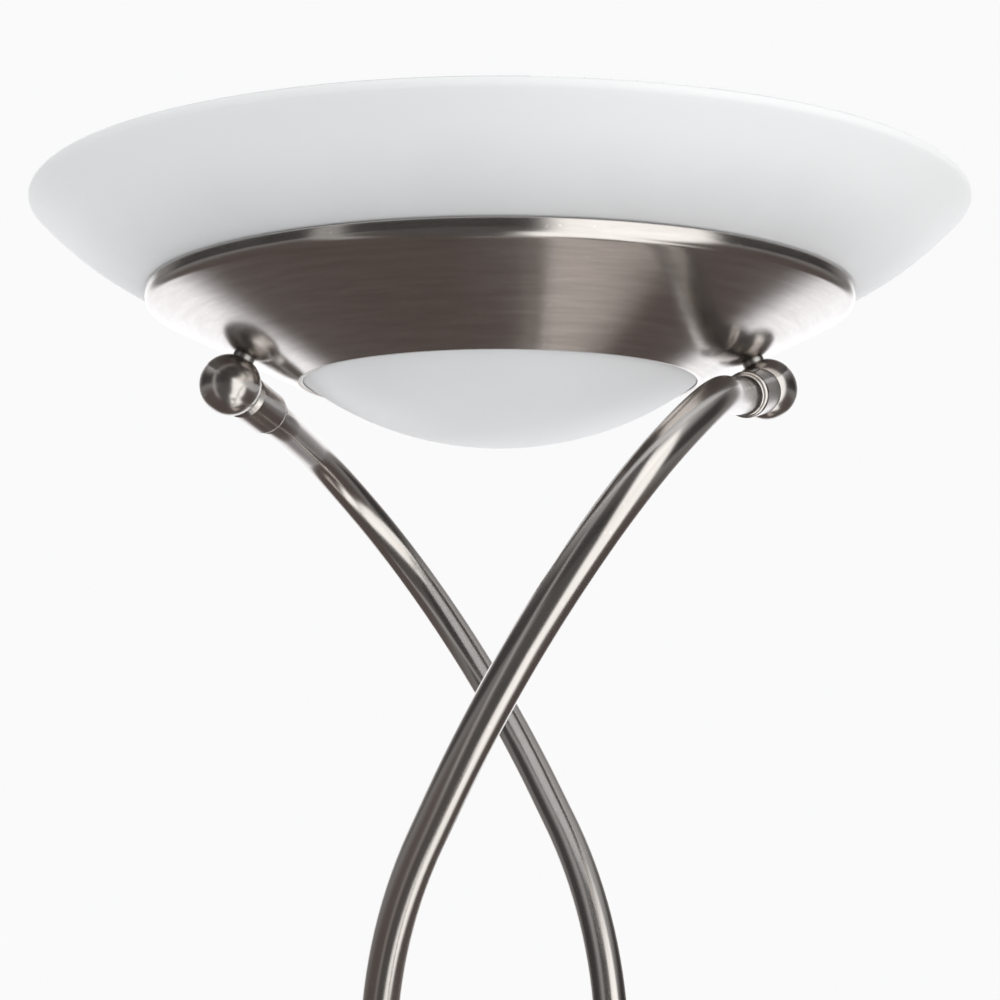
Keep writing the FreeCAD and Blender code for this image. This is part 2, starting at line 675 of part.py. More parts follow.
def lamp_socket(side):
    """Ceramic end socket with a round pocket for the lamp's cap."""
    inner = socket_inner_face()
    height = lamp_axis_height()
    low = min(side * inner, side * (inner + SOCKET_BLOCK_DEPTH))
    block = Part.makeBox(SOCKET_BLOCK_DEPTH, SOCKET_BLOCK_WIDTH, SOCKET_BLOCK_HEIGHT,
                         Vec(low, -SOCKET_BLOCK_WIDTH / 2, height - SOCKET_BLOCK_HEIGHT / 2))
    upright = [edge for edge in block.Edges if abs(edge.tangentAt(0).x) > 0.9]
    block = block.makeFillet(2.5, upright)
    mouth = Vec(side * (inner - 1), 0, height)
    pocket = rod(LAMP_CAP_RADIUS + SEAT_GAP, mouth, mouth + X_AXIS * side * (SOCKET_GRIP + 1.3))
    return block.cut(pocket)


def linear_lamp():
    """Quartz tube with pinched necks and a ceramic cap at each end."""
    half = LAMP_LENGTH / 2
    glass = half - LAMP_CAP_LENGTH
    profile = (
        (0, -half), (LAMP_CAP_RADIUS, -half), (LAMP_CAP_RADIUS, -glass),
        (LAMP_NECK_RADIUS, -glass), (LAMP_NECK_RADIUS, -glass + 5), (LAMP_RADIUS, -glass + 9),
        (LAMP_RADIUS, glass - 9), (LAMP_NECK_RADIUS, glass - 5), (LAMP_NECK_RADIUS, glass),
        (LAMP_CAP_RADIUS, glass), (LAMP_CAP_RADIUS, half), (0, half))
    return stood(turned(profile), Vec(0, 0, lamp_axis_height()), X_AXIS)


# ---------------------------------------------------------------- poles
def pole(side, bottom, top):
    axis = Vec(side * POLE_HALF_SPACING, 0, 0)
    return ring(TUBE_RADIUS, TUBE_BORE, axis + Z_AXIS * bottom, axis + Z_AXIS * top)


def joint_ring(side):
    """Turned ring between two lengths of pole, with a groove round its middle."""
    half = JOINT_RING_LENGTH / 2
    outline = (
        (TUBE_BORE, -half), (TUBE_RADIUS, -half), (JOINT_RING_RADIUS, -half + 1.2),
        (JOINT_RING_RADIUS, -1), (JOINT_RING_RADIUS - 0.7, 0), (JOINT_RING_RADIUS, 1),
        (JOINT_RING_RADIUS, half - 1.2), (TUBE_RADIUS, half), (TUBE_BORE, half))
    return stood(turned(outline), Vec(side * POLE_HALF_SPACING, 0, POLE_JOINT_HEIGHT), Z_AXIS)


def coupler(side, height):
    """Hollow plug inside the ends of two tubes that meet at a height."""
    start = Vec(side * POLE_HALF_SPACING, 0, height - COUPLER_HALF_LENGTH)
    end = Vec(side * POLE_HALF_SPACING, 0, height + COUPLER_HALF_LENGTH)
    return ring(PLUG_RADIUS, COUPLER_BORE, start, end)


# ---------------------------------------------------------------- base
BASE_SLOPE = math.degrees(math.atan2(
    BASE_HEIGHT - BASE_BAND_TOP, BASE_RADIUS - BASE_PLATEAU_RADIUS))
COLLAR_BASE = BASE_HEIGHT + SEAT_GAP


def base_outline(inset, bottom):
    """Half profile of the base, inset from the cover's outside, down to a height."""
    along = on_slope(-BASE_SLOPE)
    normal = Vec(-along.z, 0, along.x)
    edge = point_rz(BASE_RADIUS, BASE_BAND_TOP)
    plateau = point_rz(BASE_PLATEAU_RADIUS, BASE_HEIGHT)
    flat = BASE_HEIGHT - inset
    wall = BASE_RADIUS - inset
    on_cone = plateau - normal * inset
    high = on_cone + along * ((on_cone.z - flat) / -along.z)
    reach = (wall - on_cone.x) / along.x
    low = on_cone + along * reach
    sides = [point_rz(0, bottom), point_rz(0, flat), high, low, point_rz(wall, bottom)]
    sides.append(sides[0])
    return Part.Face(Part.makePolygon(sides)).revolve(ORIGIN, Z_AXIS, 360)


def ring_edges(shape, radius, height):
    """Circular edges of the shape at a given radius and height."""
    found = []
    for edge in shape.Edges:
        if hasattr(edge.Curve, "Radius") and edge.isClosed():
            same_radius = abs(edge.Curve.Radius - radius) < 0.6
            if same_radius and abs(edge.BoundBox.ZMin - height) < 0.6:
                found.append(edge)
    return found


def base_cover():
    """Spun cover: upright band, low cone and a flat middle, hollow underneath."""
    outside = base_outline(0, BASE_LIFT)
    outside = outside.makeFillet(BASE_EDGE_RADIUS, ring_edges(outside, BASE_RADIUS, BASE_BAND_TOP))
    outside = outside.makeFillet(
        BASE_EDGE_RADIUS * 4, ring_edges(outside, BASE_PLATEAU_RADIUS, BASE_HEIGHT))
    inside = base_outline(BASE_SHEET, BASE_LIFT - 1)
    inside = inside.makeFillet(
        BASE_EDGE_RADIUS - BASE_SHEET,
        ring_edges(inside, BASE_RADIUS - BASE_SHEET, BASE_BAND_TOP - BASE_SHEET / 2))
    cover = outside.cut(inside)
    for side in SIDES:
        cover = cover.cut(stud_bore(side, STUD_RADIUS + RUNNING_GAP))
    start = Vec(0, BASE_RADIUS - 4 * BASE_SHEET, bush_height())
    return cover.cut(rod(CORD_BUSH_RADIUS + FIT_GAP, start, start + Y_AXIS * 10))


def stud_bore(side, radius):
    start = Vec(side * POLE_HALF_SPACING, 0, 0)
    return rod(radius, start, start + Z_AXIS * (BASE_HEIGHT + 1))


def bush_height():
    """Height of the cord's bush in the cover's band."""
    return BASE_LIFT + (BASE_BAND_TOP - BASE_EDGE_RADIUS / 2) / 2 + 1


def weight_bottom():
    return PAD_THICKNESS


def base_weight():
    """Cast weight that fills the cover, with pockets for the nuts and a cord channel."""
    weight = base_outline(BASE_SHEET + WEIGHT_GAP, weight_bottom())
    rim = Part.makeCylinder(WEIGHT_RADIUS, BASE_HEIGHT)
    weight = weight.common(rim)
    top = BASE_HEIGHT - BASE_SHEET - SEAT_GAP
    for side in SIDES:
        foot = Vec(side * POLE_HALF_SPACING, 0, BASE_HEIGHT / 2)
        weight = weight.fuse(rod(FOOT_COLLAR_RADIUS, foot, Vec(foot.x, 0, top)))
    for side in SIDES:
        weight = weight.cut(stud_bore(side, STUD_RADIUS + RUNNING_GAP))
        start = Vec(side * POLE_HALF_SPACING, 0, 0)
        pocket = rod(WASHER_RADIUS + 2, start, start + Z_AXIS * nut_pocket_top())
        weight = weight.cut(pocket)
    half = CORD_CHANNEL / 2
    length = WEIGHT_RADIUS + 2 - CORD_CHANNEL
    channel = Part.makeBox(CORD_CHANNEL, length, CORD_CHANNEL + 4,
                           Vec(-half, CORD_CHANNEL, bush_height() - half))
    return weight.cut(channel).removeSplitter()


def nut_pocket_top():
    """Height of the ceiling of each nut's pocket under the weight."""
    return weight_bottom() + NUT_HEIGHT + WASHER_THICKNESS + 4


def base_pad():
    """Felt pad with a hole under each nut, so that they can be reached."""
    pad = Part.makeCylinder(PAD_RADIUS, PAD_THICKNESS)
    for side in SIDES:
        start = Vec(side * POLE_HALF_SPACING, 0, -1)
        pad = pad.cut(rod(WASHER_RADIUS + 2, start, start + Z_AXIS * (PAD_THICKNESS + 2)))
    return pad


def foot_stud(side):
    """Stud from the nut under the weight up to a plug inside the pole."""
    axis = Vec(side * POLE_HALF_SPACING, 0, 0)
    bottom = nut_pocket_top() - WASHER_THICKNESS - NUT_HEIGHT - 1
    step = COLLAR_BASE + FOOT_COLLAR_HEIGHT / 4 + SEAT_GAP
    screw = ring(STUD_RADIUS, NIPPLE_BORE, axis + Z_AXIS * bottom, axis + Z_AXIS * step)
    plug = ring(PLUG_RADIUS, NIPPLE_BORE, axis + Z_AXIS * step,
                axis + Z_AXIS * (step + STUD_GRIP))
    return screw.fuse(plug).removeSplitter()


def foot_washer(side):
    top = Vec(side * POLE_HALF_SPACING, 0, nut_pocket_top())
    return ring(WASHER_RADIUS, STUD_RADIUS + RUNNING_GAP, top - Z_AXIS * WASHER_THICKNESS, top)


def foot_nut(side):
    base = Vec(side * POLE_HALF_SPACING, 0, nut_pocket_top() - WASHER_THICKNESS)
    return hexagon(NUT_FLAT, NUT_HEIGHT, STUD_RADIUS + FIT_GAP, base, Z_AXIS * -1)


def foot_collar(side):
    """Turned foot on the base: a flared ring that takes the pole's lower end."""
    top = FOOT_COLLAR_HEIGHT
    neck = TUBE_RADIUS + 1.6
    flare = FOOT_COLLAR_RADIUS - neck
    centre = point_rz(neck + flare, 3.0 + flare)
    edges = [
        line_edge(point_rz(0, 0), point_rz(FOOT_COLLAR_RADIUS, 0)),
        line_edge(point_rz(FOOT_COLLAR_RADIUS, 0), point_rz(FOOT_COLLAR_RADIUS, 3.0)),
        arc_edge(centre, point_rz(FOOT_COLLAR_RADIUS, 3.0), point_rz(neck, 3.0 + flare)),
        line_edge(point_rz(neck, 3.0 + flare), point_rz(neck, top - 0.8)),
        line_edge(point_rz(neck, top - 0.8), point_rz(neck - 0.8, top)),
        line_edge(point_rz(neck - 0.8, top), point_rz(0, top)),
        line_edge(point_rz(0, top), point_rz(0, 0)),
    ]
    body = revolved(edges)
    body = body.cut(Part.makeCylinder(TUBE_RADIUS + FIT_GAP, top, Vec(0, 0, top / 4)))
    body = body.cut(Part.makeCylinder(STUD_RADIUS + RUNNING_GAP, top))
    return stood(body, Vec(side * POLE_HALF_SPACING, 0, COLLAR_BASE), Z_AXIS)


def pole_foot_height():
    """Height at which each pole stands in its foot."""
    return COLLAR_BASE + FOOT_COLLAR_HEIGHT / 4 + SEAT_GAP


def cord_bush():
    """Flanged rubber bush in the rear of the cover's band, open for a cord."""
    out = Vec(0, BASE_RADIUS, bush_height())
    body = rod(CORD_BUSH_RADIUS, out - Y_AXIS * 4, out + Y_AXIS * 0.2)
    flange = Part.makeCone(CORD_BUSH_RADIUS + 1.2, CORD_BUSH_RADIUS - 0.6, 3,
                           out + Y_AXIS * 0.2, Y_AXIS)
    body = body.fuse(flange)
    return body.cut(rod(CORD_BORE, out - Y_AXIS * 6, out + Y_AXIS * 6)).removeSplitter()


# ---------------------------------------------------------------- control bridge
def nose_axis(height):
    return Vec(0, -NOSE_REACH, height)


def bridge_plan(inset, bottom, top):
    """Prism of the bridge's plan: a long oval with a round nose at the front."""
    length = POLE_HALF_SPACING + BRIDGE_END_MARGIN - BRIDGE_HALF_DEPTH
    radius = BRIDGE_HALF_DEPTH - inset
    height = top - bottom
    bar = Part.makeBox(2 * length, 2 * radius, height, Vec(-length, -radius, bottom))
    for side in SIDES:
        bar = bar.fuse(Part.makeCylinder(radius, height, Vec(side * length, 0, bottom)))
    return bar.removeSplitter()


def nose_plan(bottom, top):
    block = Part.makeBox(2 * NOSE_RADIUS, NOSE_REACH, top - bottom,
                         Vec(-NOSE_RADIUS, -NOSE_REACH, bottom))
    return block.fuse(Part.makeCylinder(NOSE_RADIUS, top - bottom, nose_axis(bottom)))


def bridge_outside():
    """Whole outer form of the bridge, housing and back cover together."""
    outer = bridge_plan(0, BRIDGE_BOTTOM, BRIDGE_TOP)
    outer = outer.fuse(nose_plan(BRIDGE_BOTTOM, BRIDGE_TOP)).removeSplitter()
    corners = [edge for edge in outer.Edges
               if abs(abs(edge.CenterOfMass.x) - NOSE_RADIUS) < 0.01
               and abs(edge.CenterOfMass.y + BRIDGE_HALF_DEPTH) < 0.01
               and abs(edge.tangentAt(edge.FirstParameter).z) > 0.9]
    outer = outer.makeFillet(2 * BRIDGE_EDGE_RADIUS, corners)
    rims = [edge for edge in outer.Edges
            if abs(edge.BoundBox.ZLength) < 0.01]
    return outer.makeFillet(BRIDGE_EDGE_RADIUS, rims)


def bridge_hollow():
    """Room inside the bridge, between its floor and its ceiling."""
    hollow = bridge_plan(BRIDGE_WALL, BRIDGE_BOTTOM + BRIDGE_WALL, BRIDGE_TOP - BRIDGE_WALL)
    for side in SIDES:
        axis = Vec(side * POLE_HALF_SPACING, 0, 0)
        hollow = hollow.cut(rod(TUBE_RADIUS + SLEEVE_WALL, axis + Z_AXIS * BRIDGE_BOTTOM,
                                axis + Z_AXIS * BRIDGE_TOP))
    return hollow


def half_space(front):
    """Large block in front of or behind the joint between housing and cover."""
    size = 400.0
    corner = BRIDGE_SPLIT - size if front else BRIDGE_SPLIT
    return Part.makeBox(size, size, size, Vec(-size / 2, corner, BRIDGE_MIDDLE - size / 2))


def bridge_housing():
    """Cast housing: walls, two sleeves for the poles, and the solid nose."""
    body = bridge_outside().cut(bridge_hollow()).common(half_space(True))
    for side in SIDES:
        axis = Vec(side * POLE_HALF_SPACING, 0, 0)
        body = body.cut(rod(TUBE_RADIUS + FIT_GAP, axis + Z_AXIS * (BRIDGE_BOTTOM - 1),
                            axis + Z_AXIS * (BRIDGE_TOP + 1)))
        front = Vec(side * DIMMER_OFFSET, -BRIDGE_HALF_DEPTH - 1, BRIDGE_MIDDLE)
        body = body.cut(rod(BUSHING_RADIUS + FIT_GAP, front, front + Y_AXIS * 6))
    body = body.cut(rod(SWIVEL_STEM_RADIUS + RUNNING_GAP, nose_axis(BRIDGE_BOTTOM - 1),
                        nose_axis(BRIDGE_TOP + 1)))
    pocket = rod(WASHER_RADIUS - 1, nose_axis(BRIDGE_BOTTOM - 1), nose_axis(swivel_pocket_top()))
    body = body.cut(pocket)
    for place in cover_screw_places():
        post = rod(SCREW_HEAD_RADIUS, place - Y_AXIS * SCREW_LENGTH, place)
        body = body.fuse(post.common(half_space(True)))
    for place in cover_screw_places():
        body = body.cut(rod(SCREW_RADIUS + FIT_GAP, place - Y_AXIS * (SCREW_LENGTH - 1),
                            place + Y_AXIS))
    return body.removeSplitter()


def swivel_pocket_top():
    """Height of the pocket's ceiling under the nose, which hides the swivel's nut."""
    return BRIDGE_BOTTOM + NUT_HEIGHT + WASHER_THICKNESS + 1


def cover_screw_places():
    """Where the cover's screws cross the joint, one above the other at the middle."""
    offset = BRIDGE_HEIGHT / 2 - BRIDGE_WALL - SCREW_HEAD_RADIUS * 0.7
    return [Vec(0, BRIDGE_SPLIT, BRIDGE_MIDDLE + side * offset) for side in SIDES]


def bridge_back():
    """Back cover of the bridge, held by two countersunk screws."""
    body = bridge_outside().cut(bridge_hollow()).common(half_space(False))
    body.translate(Y_AXIS * FIT_GAP)
    for side in SIDES:
        axis = Vec(side * POLE_HALF_SPACING, 0, 0)
        sleeve = TUBE_RADIUS + SLEEVE_WALL + SIDE_GAP
        body = body.cut(rod(sleeve, axis + Z_AXIS * (BRIDGE_BOTTOM + BRIDGE_WALL),
                            axis + Z_AXIS * (BRIDGE_TOP - BRIDGE_WALL)))
    for place in cover_screw_places():
        back = Vec(place.x, BRIDGE_HALF_DEPTH + FIT_GAP, place.z)
        post = rod(SCREW_HEAD_RADIUS + 0.8, place + Y_AXIS * FIT_GAP, back - Y_AXIS)
        body = body.fuse(post)
    for place in cover_screw_places():
        back = Vec(place.x, BRIDGE_HALF_DEPTH + FIT_GAP, place.z)
        body = body.cut(rod(SCREW_RADIUS + RUNNING_GAP, place - Y_AXIS, back + Y_AXIS))
        body = body.cut(countersink(back, RUNNING_GAP))
    return body.removeSplitter()


def countersink(back, gap):
    """Cone of a countersunk head, level with the cover's back."""
    return Part.makeCone(SCREW_HEAD_RADIUS + gap, SCREW_RADIUS + gap, SCREW_HEAD_HEIGHT,
                         back, Y_AXIS * -1)


def cover_screw(place):
    back = Vec(place.x, BRIDGE_HALF_DEPTH + FIT_GAP, place.z)
    start = back - Y_AXIS * SCREW_HEAD_HEIGHT
    shank = rod(SCREW_RADIUS, start, place - Y_AXIS * (SCREW_LENGTH - 2))
    screw = shank.fuse(countersink(back, 0)).removeSplitter()
    slot = Part.makeBox(2 * SCREW_HEAD_RADIUS, 0.8, 0.7,
                        back + Vec(-SCREW_HEAD_RADIUS, -0.8, -0.35))
    return screw.cut(slot)


# ---------------------------------------------------------------- dimmers and knobs
def housing_front():
    return -BRIDGE_HALF_DEPTH


def dimmer(side):
    """Dimmer behind the front wall, with its screwed bushing through the wall."""
    face = housing_front() + BRIDGE_WALL
    body = Part.makeBox(DIMMER_WIDTH, DIMMER_DEPTH, DIMMER_HEIGHT,
                        Vec(side * DIMMER_OFFSET - DIMMER_WIDTH / 2, face,
                            BRIDGE_MIDDLE - DIMMER_HEIGHT / 2))
    deep = [edge for edge in body.Edges if abs(edge.tangentAt(0).y) > 0.9]
    body = body.makeFillet(2, deep)
    front = Vec(side * DIMMER_OFFSET, housing_front() - BUSHING_REACH, BRIDGE_MIDDLE)
    body = body.fuse(rod(BUSHING_RADIUS, front, Vec(front.x, face + 1, front.z)))
    bore = rod(SHAFT_RADIUS + RUNNING_GAP, front - Y_AXIS,
               Vec(front.x, face + DIMMER_DEPTH / 2 + 1, front.z))
    return body.cut(bore).removeSplitter()


def dimmer_nut(side):
    front = Vec(side * DIMMER_OFFSET, housing_front(), BRIDGE_MIDDLE)
    return hexagon(BUSHING_NUT_FLAT, BUSHING_NUT_HEIGHT, BUSHING_RADIUS + FIT_GAP, front,
                   Y_AXIS * -1)


def knob_back():
    return housing_front() - KNOB_GAP


def knob(side):
    """Turned knob with a domed face, flutes round it and a line across its rim."""
    end = KNOB_LENGTH
    dome = 3.0
    outline = ((0, 0), (KNOB_RADIUS, 0), (KNOB_RADIUS, end - dome),
               (KNOB_RADIUS - 1.2, end - dome + 1.6), (KNOB_RADIUS - 3.4, end), (0, end))
    body = turned(outline)
    for step in range(KNOB_FLUTES):
        angle = math.radians(360.0 / KNOB_FLUTES * (step + 0.5))
        reach = KNOB_RADIUS + KNOB_FLUTE_RADIUS * 0.4
        flute = Part.makeCylinder(KNOB_FLUTE_RADIUS, end - dome - 1.5,
                                  Vec(reach * math.cos(angle), reach * math.sin(angle), 2.0))
        body = body.cut(flute)
    recess = BUSHING_REACH + SEAT_GAP
    body = body.cut(Part.makeCylinder(BUSHING_NUT_FLAT + 1.6, recess))
    body = body.cut(Part.makeCylinder(SHAFT_RADIUS + FIT_GAP, end - dome))
    pointer = Part.makeBox(0.9, 4.0, 0.6, Vec(-0.45, KNOB_RADIUS - 7.0, end - 0.5))
    return stood(body.cut(pointer), Vec(side * DIMMER_OFFSET, knob_back(), BRIDGE_MIDDLE),
                 Y_AXIS * -1)


def knob_shaft(side):
    """Control shaft from inside the dimmer into the knob."""
    inner = Vec(side * DIMMER_OFFSET, housing_front() + BRIDGE_WALL + DIMMER_DEPTH / 2,
                BRIDGE_MIDDLE)
    outer = Vec(inner.x, knob_back() - (KNOB_LENGTH - 3.0) + SEAT_GAP, inner.z)
    return rod(SHAFT_RADIUS, inner, outer)


# ---------------------------------------------------------------- reading arm
SWIVEL_BASE = BRIDGE_TOP + SWIVEL_WASHER
ARM_TOP = BRIDGE_TOP + ARM_RISE
PIVOT = Vec(0, -NOSE_REACH - ARM_REACH, ARM_TOP - ARM_DROP)


def swivel_washer():
    """Slip washer between the nose and the turning hub, fixed on the nose."""
    return ring(SWIVEL_RADIUS - 0.6, SWIVEL_STEM_RADIUS + RUNNING_GAP, nose_axis(BRIDGE_TOP),
                nose_axis(SWIVEL_BASE - SIDE_GAP))


def swivel_hub():
    """Turned hub with a hollow stem down through the nose and a socket for the arm."""
    shoulder = 2.5
    centre = point_rz(SWIVEL_RADIUS - shoulder, SWIVEL_HEIGHT - shoulder)
    edges = [
        line_edge(point_rz(0, 0), point_rz(SWIVEL_RADIUS - 0.6, 0)),
        line_edge(point_rz(SWIVEL_RADIUS - 0.6, 0), point_rz(SWIVEL_RADIUS, 0.6)),
        line_edge(point_rz(SWIVEL_RADIUS, 0.6), centre + X_AXIS * shoulder),
        arc_edge(centre, centre + X_AXIS * shoulder, centre + Z_AXIS * shoulder),
        line_edge(centre + Z_AXIS * shoulder, point_rz(0, SWIVEL_HEIGHT)),
        line_edge(point_rz(0, SWIVEL_HEIGHT), point_rz(0, 0)),
    ]
    body = stood(revolved(edges), nose_axis(SWIVEL_BASE), Z_AXIS)
    body = body.fuse(rod(SWIVEL_STEM_RADIUS, nose_axis(BRIDGE_BOTTOM + 1), nose_axis(SWIVEL_BASE)))
    top = nose_axis(SWIVEL_BASE + SWIVEL_HEIGHT)
    body = body.cut(rod(ARM_TUBE_RADIUS + FIT_GAP, top - Z_AXIS * ARM_GRIP, top))
    return body.cut(rod(SWIVEL_STEM_BORE, nose_axis(BRIDGE_BOTTOM), top)).removeSplitter()


def swivel_nut():
    """Lock nut on the hub's stem, hidden in the pocket under the nose."""
    base = nose_axis(swivel_pocket_top() - WASHER_THICKNESS - SIDE_GAP)
    return hexagon(NUT_FLAT - 1.4, NUT_HEIGHT - 1, SWIVEL_STEM_RADIUS + FIT_GAP, base,
                   Z_AXIS * -1)


def swivel_spring_washer():
    top = nose_axis(swivel_pocket_top() - SIDE_GAP / 2)
    bottom = top - Z_AXIS * WASHER_THICKNESS
    return ring(WASHER_RADIUS - 2, SWIVEL_STEM_RADIUS + FIT_GAP, bottom, top)


def arm_corners():
    """Corners of the arm's centre line: up, forward and down to the head."""
    start = nose_axis(SWIVEL_BASE + SWIVEL_HEIGHT - ARM_GRIP + FIT_GAP)
    forward = Vec(0, -NOSE_REACH - ARM_FORWARD, ARM_TOP)
    end = PIVOT + unit(forward - PIVOT) * (EYE_RADIUS + ARM_GRIP / 2)
    return [start, nose_axis(ARM_TOP), forward, end]


def arm_heading():
    """Direction of the arm's last run, down towards the head."""
    corners = arm_corners()
    return unit(corners[-1] - corners[-2])


def reading_arm():
    """Swan-necked tube from the hub to the fork."""
    return bent_tube(bent_line(arm_corners(), ARM_RISE * 0.55, ARM_GRIP), ARM_TUBE_RADIUS,
                     ARM_TUBE_WALL)


def arm_fork():
    """Turned ferrule on the arm's end with two ears for the head's pivot."""
    back = Vec(arm_heading()).multiply(-1)
    outer = TONGUE_HALF + SIDE_GAP + EAR_THICKNESS
    start = PIVOT + back * (PIVOT_HEAD_RADIUS + SEAT_GAP)
    end = PIVOT + back * (EYE_RADIUS + ARM_GRIP + 2)
    shank = rod(ARM_TUBE_RADIUS + 1.6, start, end)
    shank = shank.makeFillet(1.0, [edge for edge in shank.Edges
                                   if (edge.CenterOfMass - end).Length < 0.1])
    body = shank.fuse(rod(EYE_RADIUS, PIVOT - X_AXIS * outer, PIVOT + X_AXIS * outer))
    slit = Part.makeCylinder(EYE_RADIUS + SEAT_GAP, 2 * (TONGUE_HALF + SIDE_GAP),
                             PIVOT - X_AXIS * (TONGUE_HALF + SIDE_GAP), X_AXIS)
    body = body.cut(slit)
    body = body.cut(rod(PIVOT_RADIUS + FIT_GAP, PIVOT - X_AXIS * 20, PIVOT + X_AXIS * 20))
    seat = PIVOT + back * (EYE_RADIUS + ARM_GRIP / 2 - FIT_GAP)
    body = body.cut(rod(ARM_TUBE_RADIUS + FIT_GAP, seat, end + back))
    wire_way = rod(NIPPLE_BORE - 1, PIVOT + back * (EYE_RADIUS - 1), end)
    return body.cut(wire_way).removeSplitter()


def pivot_screw():
    """Shoulder screw through fork and tongue, with a rounded head."""
    outer = TONGUE_HALF + SIDE_GAP + EAR_THICKNESS
    start = PIVOT - X_AXIS * outer
    shank = rod(PIVOT_RADIUS, start, PIVOT + X_AXIS * (outer + PIVOT_HEAD_HEIGHT))
    head = rod(PIVOT_HEAD_RADIUS, start - X_AXIS * PIVOT_HEAD_HEIGHT, start)
    rims = [edge for edge in head.Edges
            if (edge.CenterOfMass - start).Length > PIVOT_HEAD_HEIGHT * 0.9]
    head = head.makeFillet(1.2, rims)
    return head.fuse(shank).removeSplitter()


def pivot_nut():
    """Domed cap nut on the other side of the fork."""
    outer = TONGUE_HALF + SIDE_GAP + EAR_THICKNESS
    start = PIVOT + X_AXIS * outer
    length = PIVOT_HEAD_HEIGHT + 2.2
    body = rod(PIVOT_HEAD_RADIUS, start, start + X_AXIS * length)
    rims = [edge for edge in body.Edges
            if (edge.CenterOfMass - start).Length > length * 0.9]
    body = body.makeFillet(2.4, rims)
    return body.cut(rod(PIVOT_RADIUS + FIT_GAP, start, start + X_AXIS * PIVOT_HEAD_HEIGHT * 1.05))


# ---------------------------------------------------------------- reading head
# Made about the pivot with its axis straight down, then leaned forward.
SHADE_TOP = -(NECK_END + CAP_HEIGHT)


def leaned(shape):
    """The head piece turned about the pivot to its rest angle and moved there."""
    copy = shape.copy()
    copy.rotate(ORIGIN, X_AXIS, -HEAD_LEAN)
    copy.translate(PIVOT)
    return copy


def head_neck():
    """Tongue between the fork's ears, with a turned neck down to the cap."""
    tongue = Part.makeCylinder(EYE_RADIUS, 2 * TONGUE_HALF, Vec(-TONGUE_HALF, 0, 0), X_AXIS)
    neck = rod(NECK_RADIUS, Vec(0, 0, -EYE_RADIUS - SEAT_GAP), Vec(0, 0, -NECK_END))
    stalk = Part.makeBox(2 * TONGUE_HALF, 2 * NECK_RADIUS, EYE_RADIUS + 1,
                         Vec(-TONGUE_HALF, -NECK_RADIUS, -EYE_RADIUS - 1))
    body = tongue.fuse([stalk, neck])
    body = body.cut(rod(PIVOT_RADIUS + RUNNING_GAP, X_AXIS * -10, X_AXIS * 10))
    screwed = rod(HEAD_SCREW_RADIUS, Vec(0, 0, -NECK_END), Vec(0, 0, SHADE_TOP - 6))
    return leaned(body.fuse(screwed).removeSplitter())


def shade_cap():
    """Turned domed cap between neck and shade."""
    centre = point_rz(CAP_RADIUS - 7.0, -NECK_END - 7.0)
    low = SHADE_TOP
    edges = [
        line_edge(point_rz(0, -NECK_END), centre + Z_AXIS * 7.0),
        arc_edge(centre, centre + Z_AXIS * 7.0, centre + X_AXIS * 7.0),
        line_edge(centre + X_AXIS * 7.0, point_rz(CAP_RADIUS, low)),
        line_edge(point_rz(CAP_RADIUS, low), point_rz(0, low)),
        line_edge(point_rz(0, low), point_rz(0, -NECK_END)),
    ]
    body = revolved(edges)
    return leaned(body.cut(rod(HEAD_SCREW_RADIUS + FIT_GAP, Vec(0, 0, 1), Vec(0, 0, low - 1))))


def shade_line():
    """Corner heights of the shade's cone: where it starts and where its band starts."""
    start = SHADE_TOP
    run = SHADE_RADIUS - SHADE_TOP_RADIUS
    corner = start - run * math.tan(math.radians(SHADE_SLOPE))
    return start, corner


def reading_shade():
    """Spun cone with a flat top and an upright band round its mouth."""
    sheet = SHADE_SHEET
    start, corner = shade_line()
    outside = ((0, start), (SHADE_TOP_RADIUS, start), (SHADE_RADIUS, corner),
               (SHADE_RADIUS, shade_mouth()), (0, shade_mouth()))
    outer = turned(outside)
    outer = outer.makeFillet(SHADE_EDGE_RADIUS, ring_edges(outer, SHADE_RADIUS, corner))
    slope = math.radians(SHADE_SLOPE)
    inner_corner = corner - sheet * (1 / math.cos(slope) - math.tan(slope))
    inner_top = SHADE_TOP_RADIUS - sheet * math.tan(slope / 2)
    inside = ((0, start - sheet), (inner_top, start - sheet),
              (SHADE_RADIUS - sheet, inner_corner),
              (SHADE_RADIUS - sheet, shade_mouth() - 1), (0, shade_mouth() - 1))
    inner = turned(inside)
    inner = inner.makeFillet(SHADE_EDGE_RADIUS - sheet,
                             ring_edges(inner, SHADE_RADIUS - sheet, inner_corner))
    shade = outer.cut(inner)
    hole = rod(HEAD_SCREW_RADIUS + FIT_GAP, Vec(0, 0, start + 1), Vec(0, 0, start - 3))
    return leaned(shade.cut(hole))


def shade_mouth():
    """Height of the shade's mouth, below the corner where its band starts."""
    return shade_line()[1] - SHADE_EDGE_RADIUS * 0.6 - SHADE_BAND


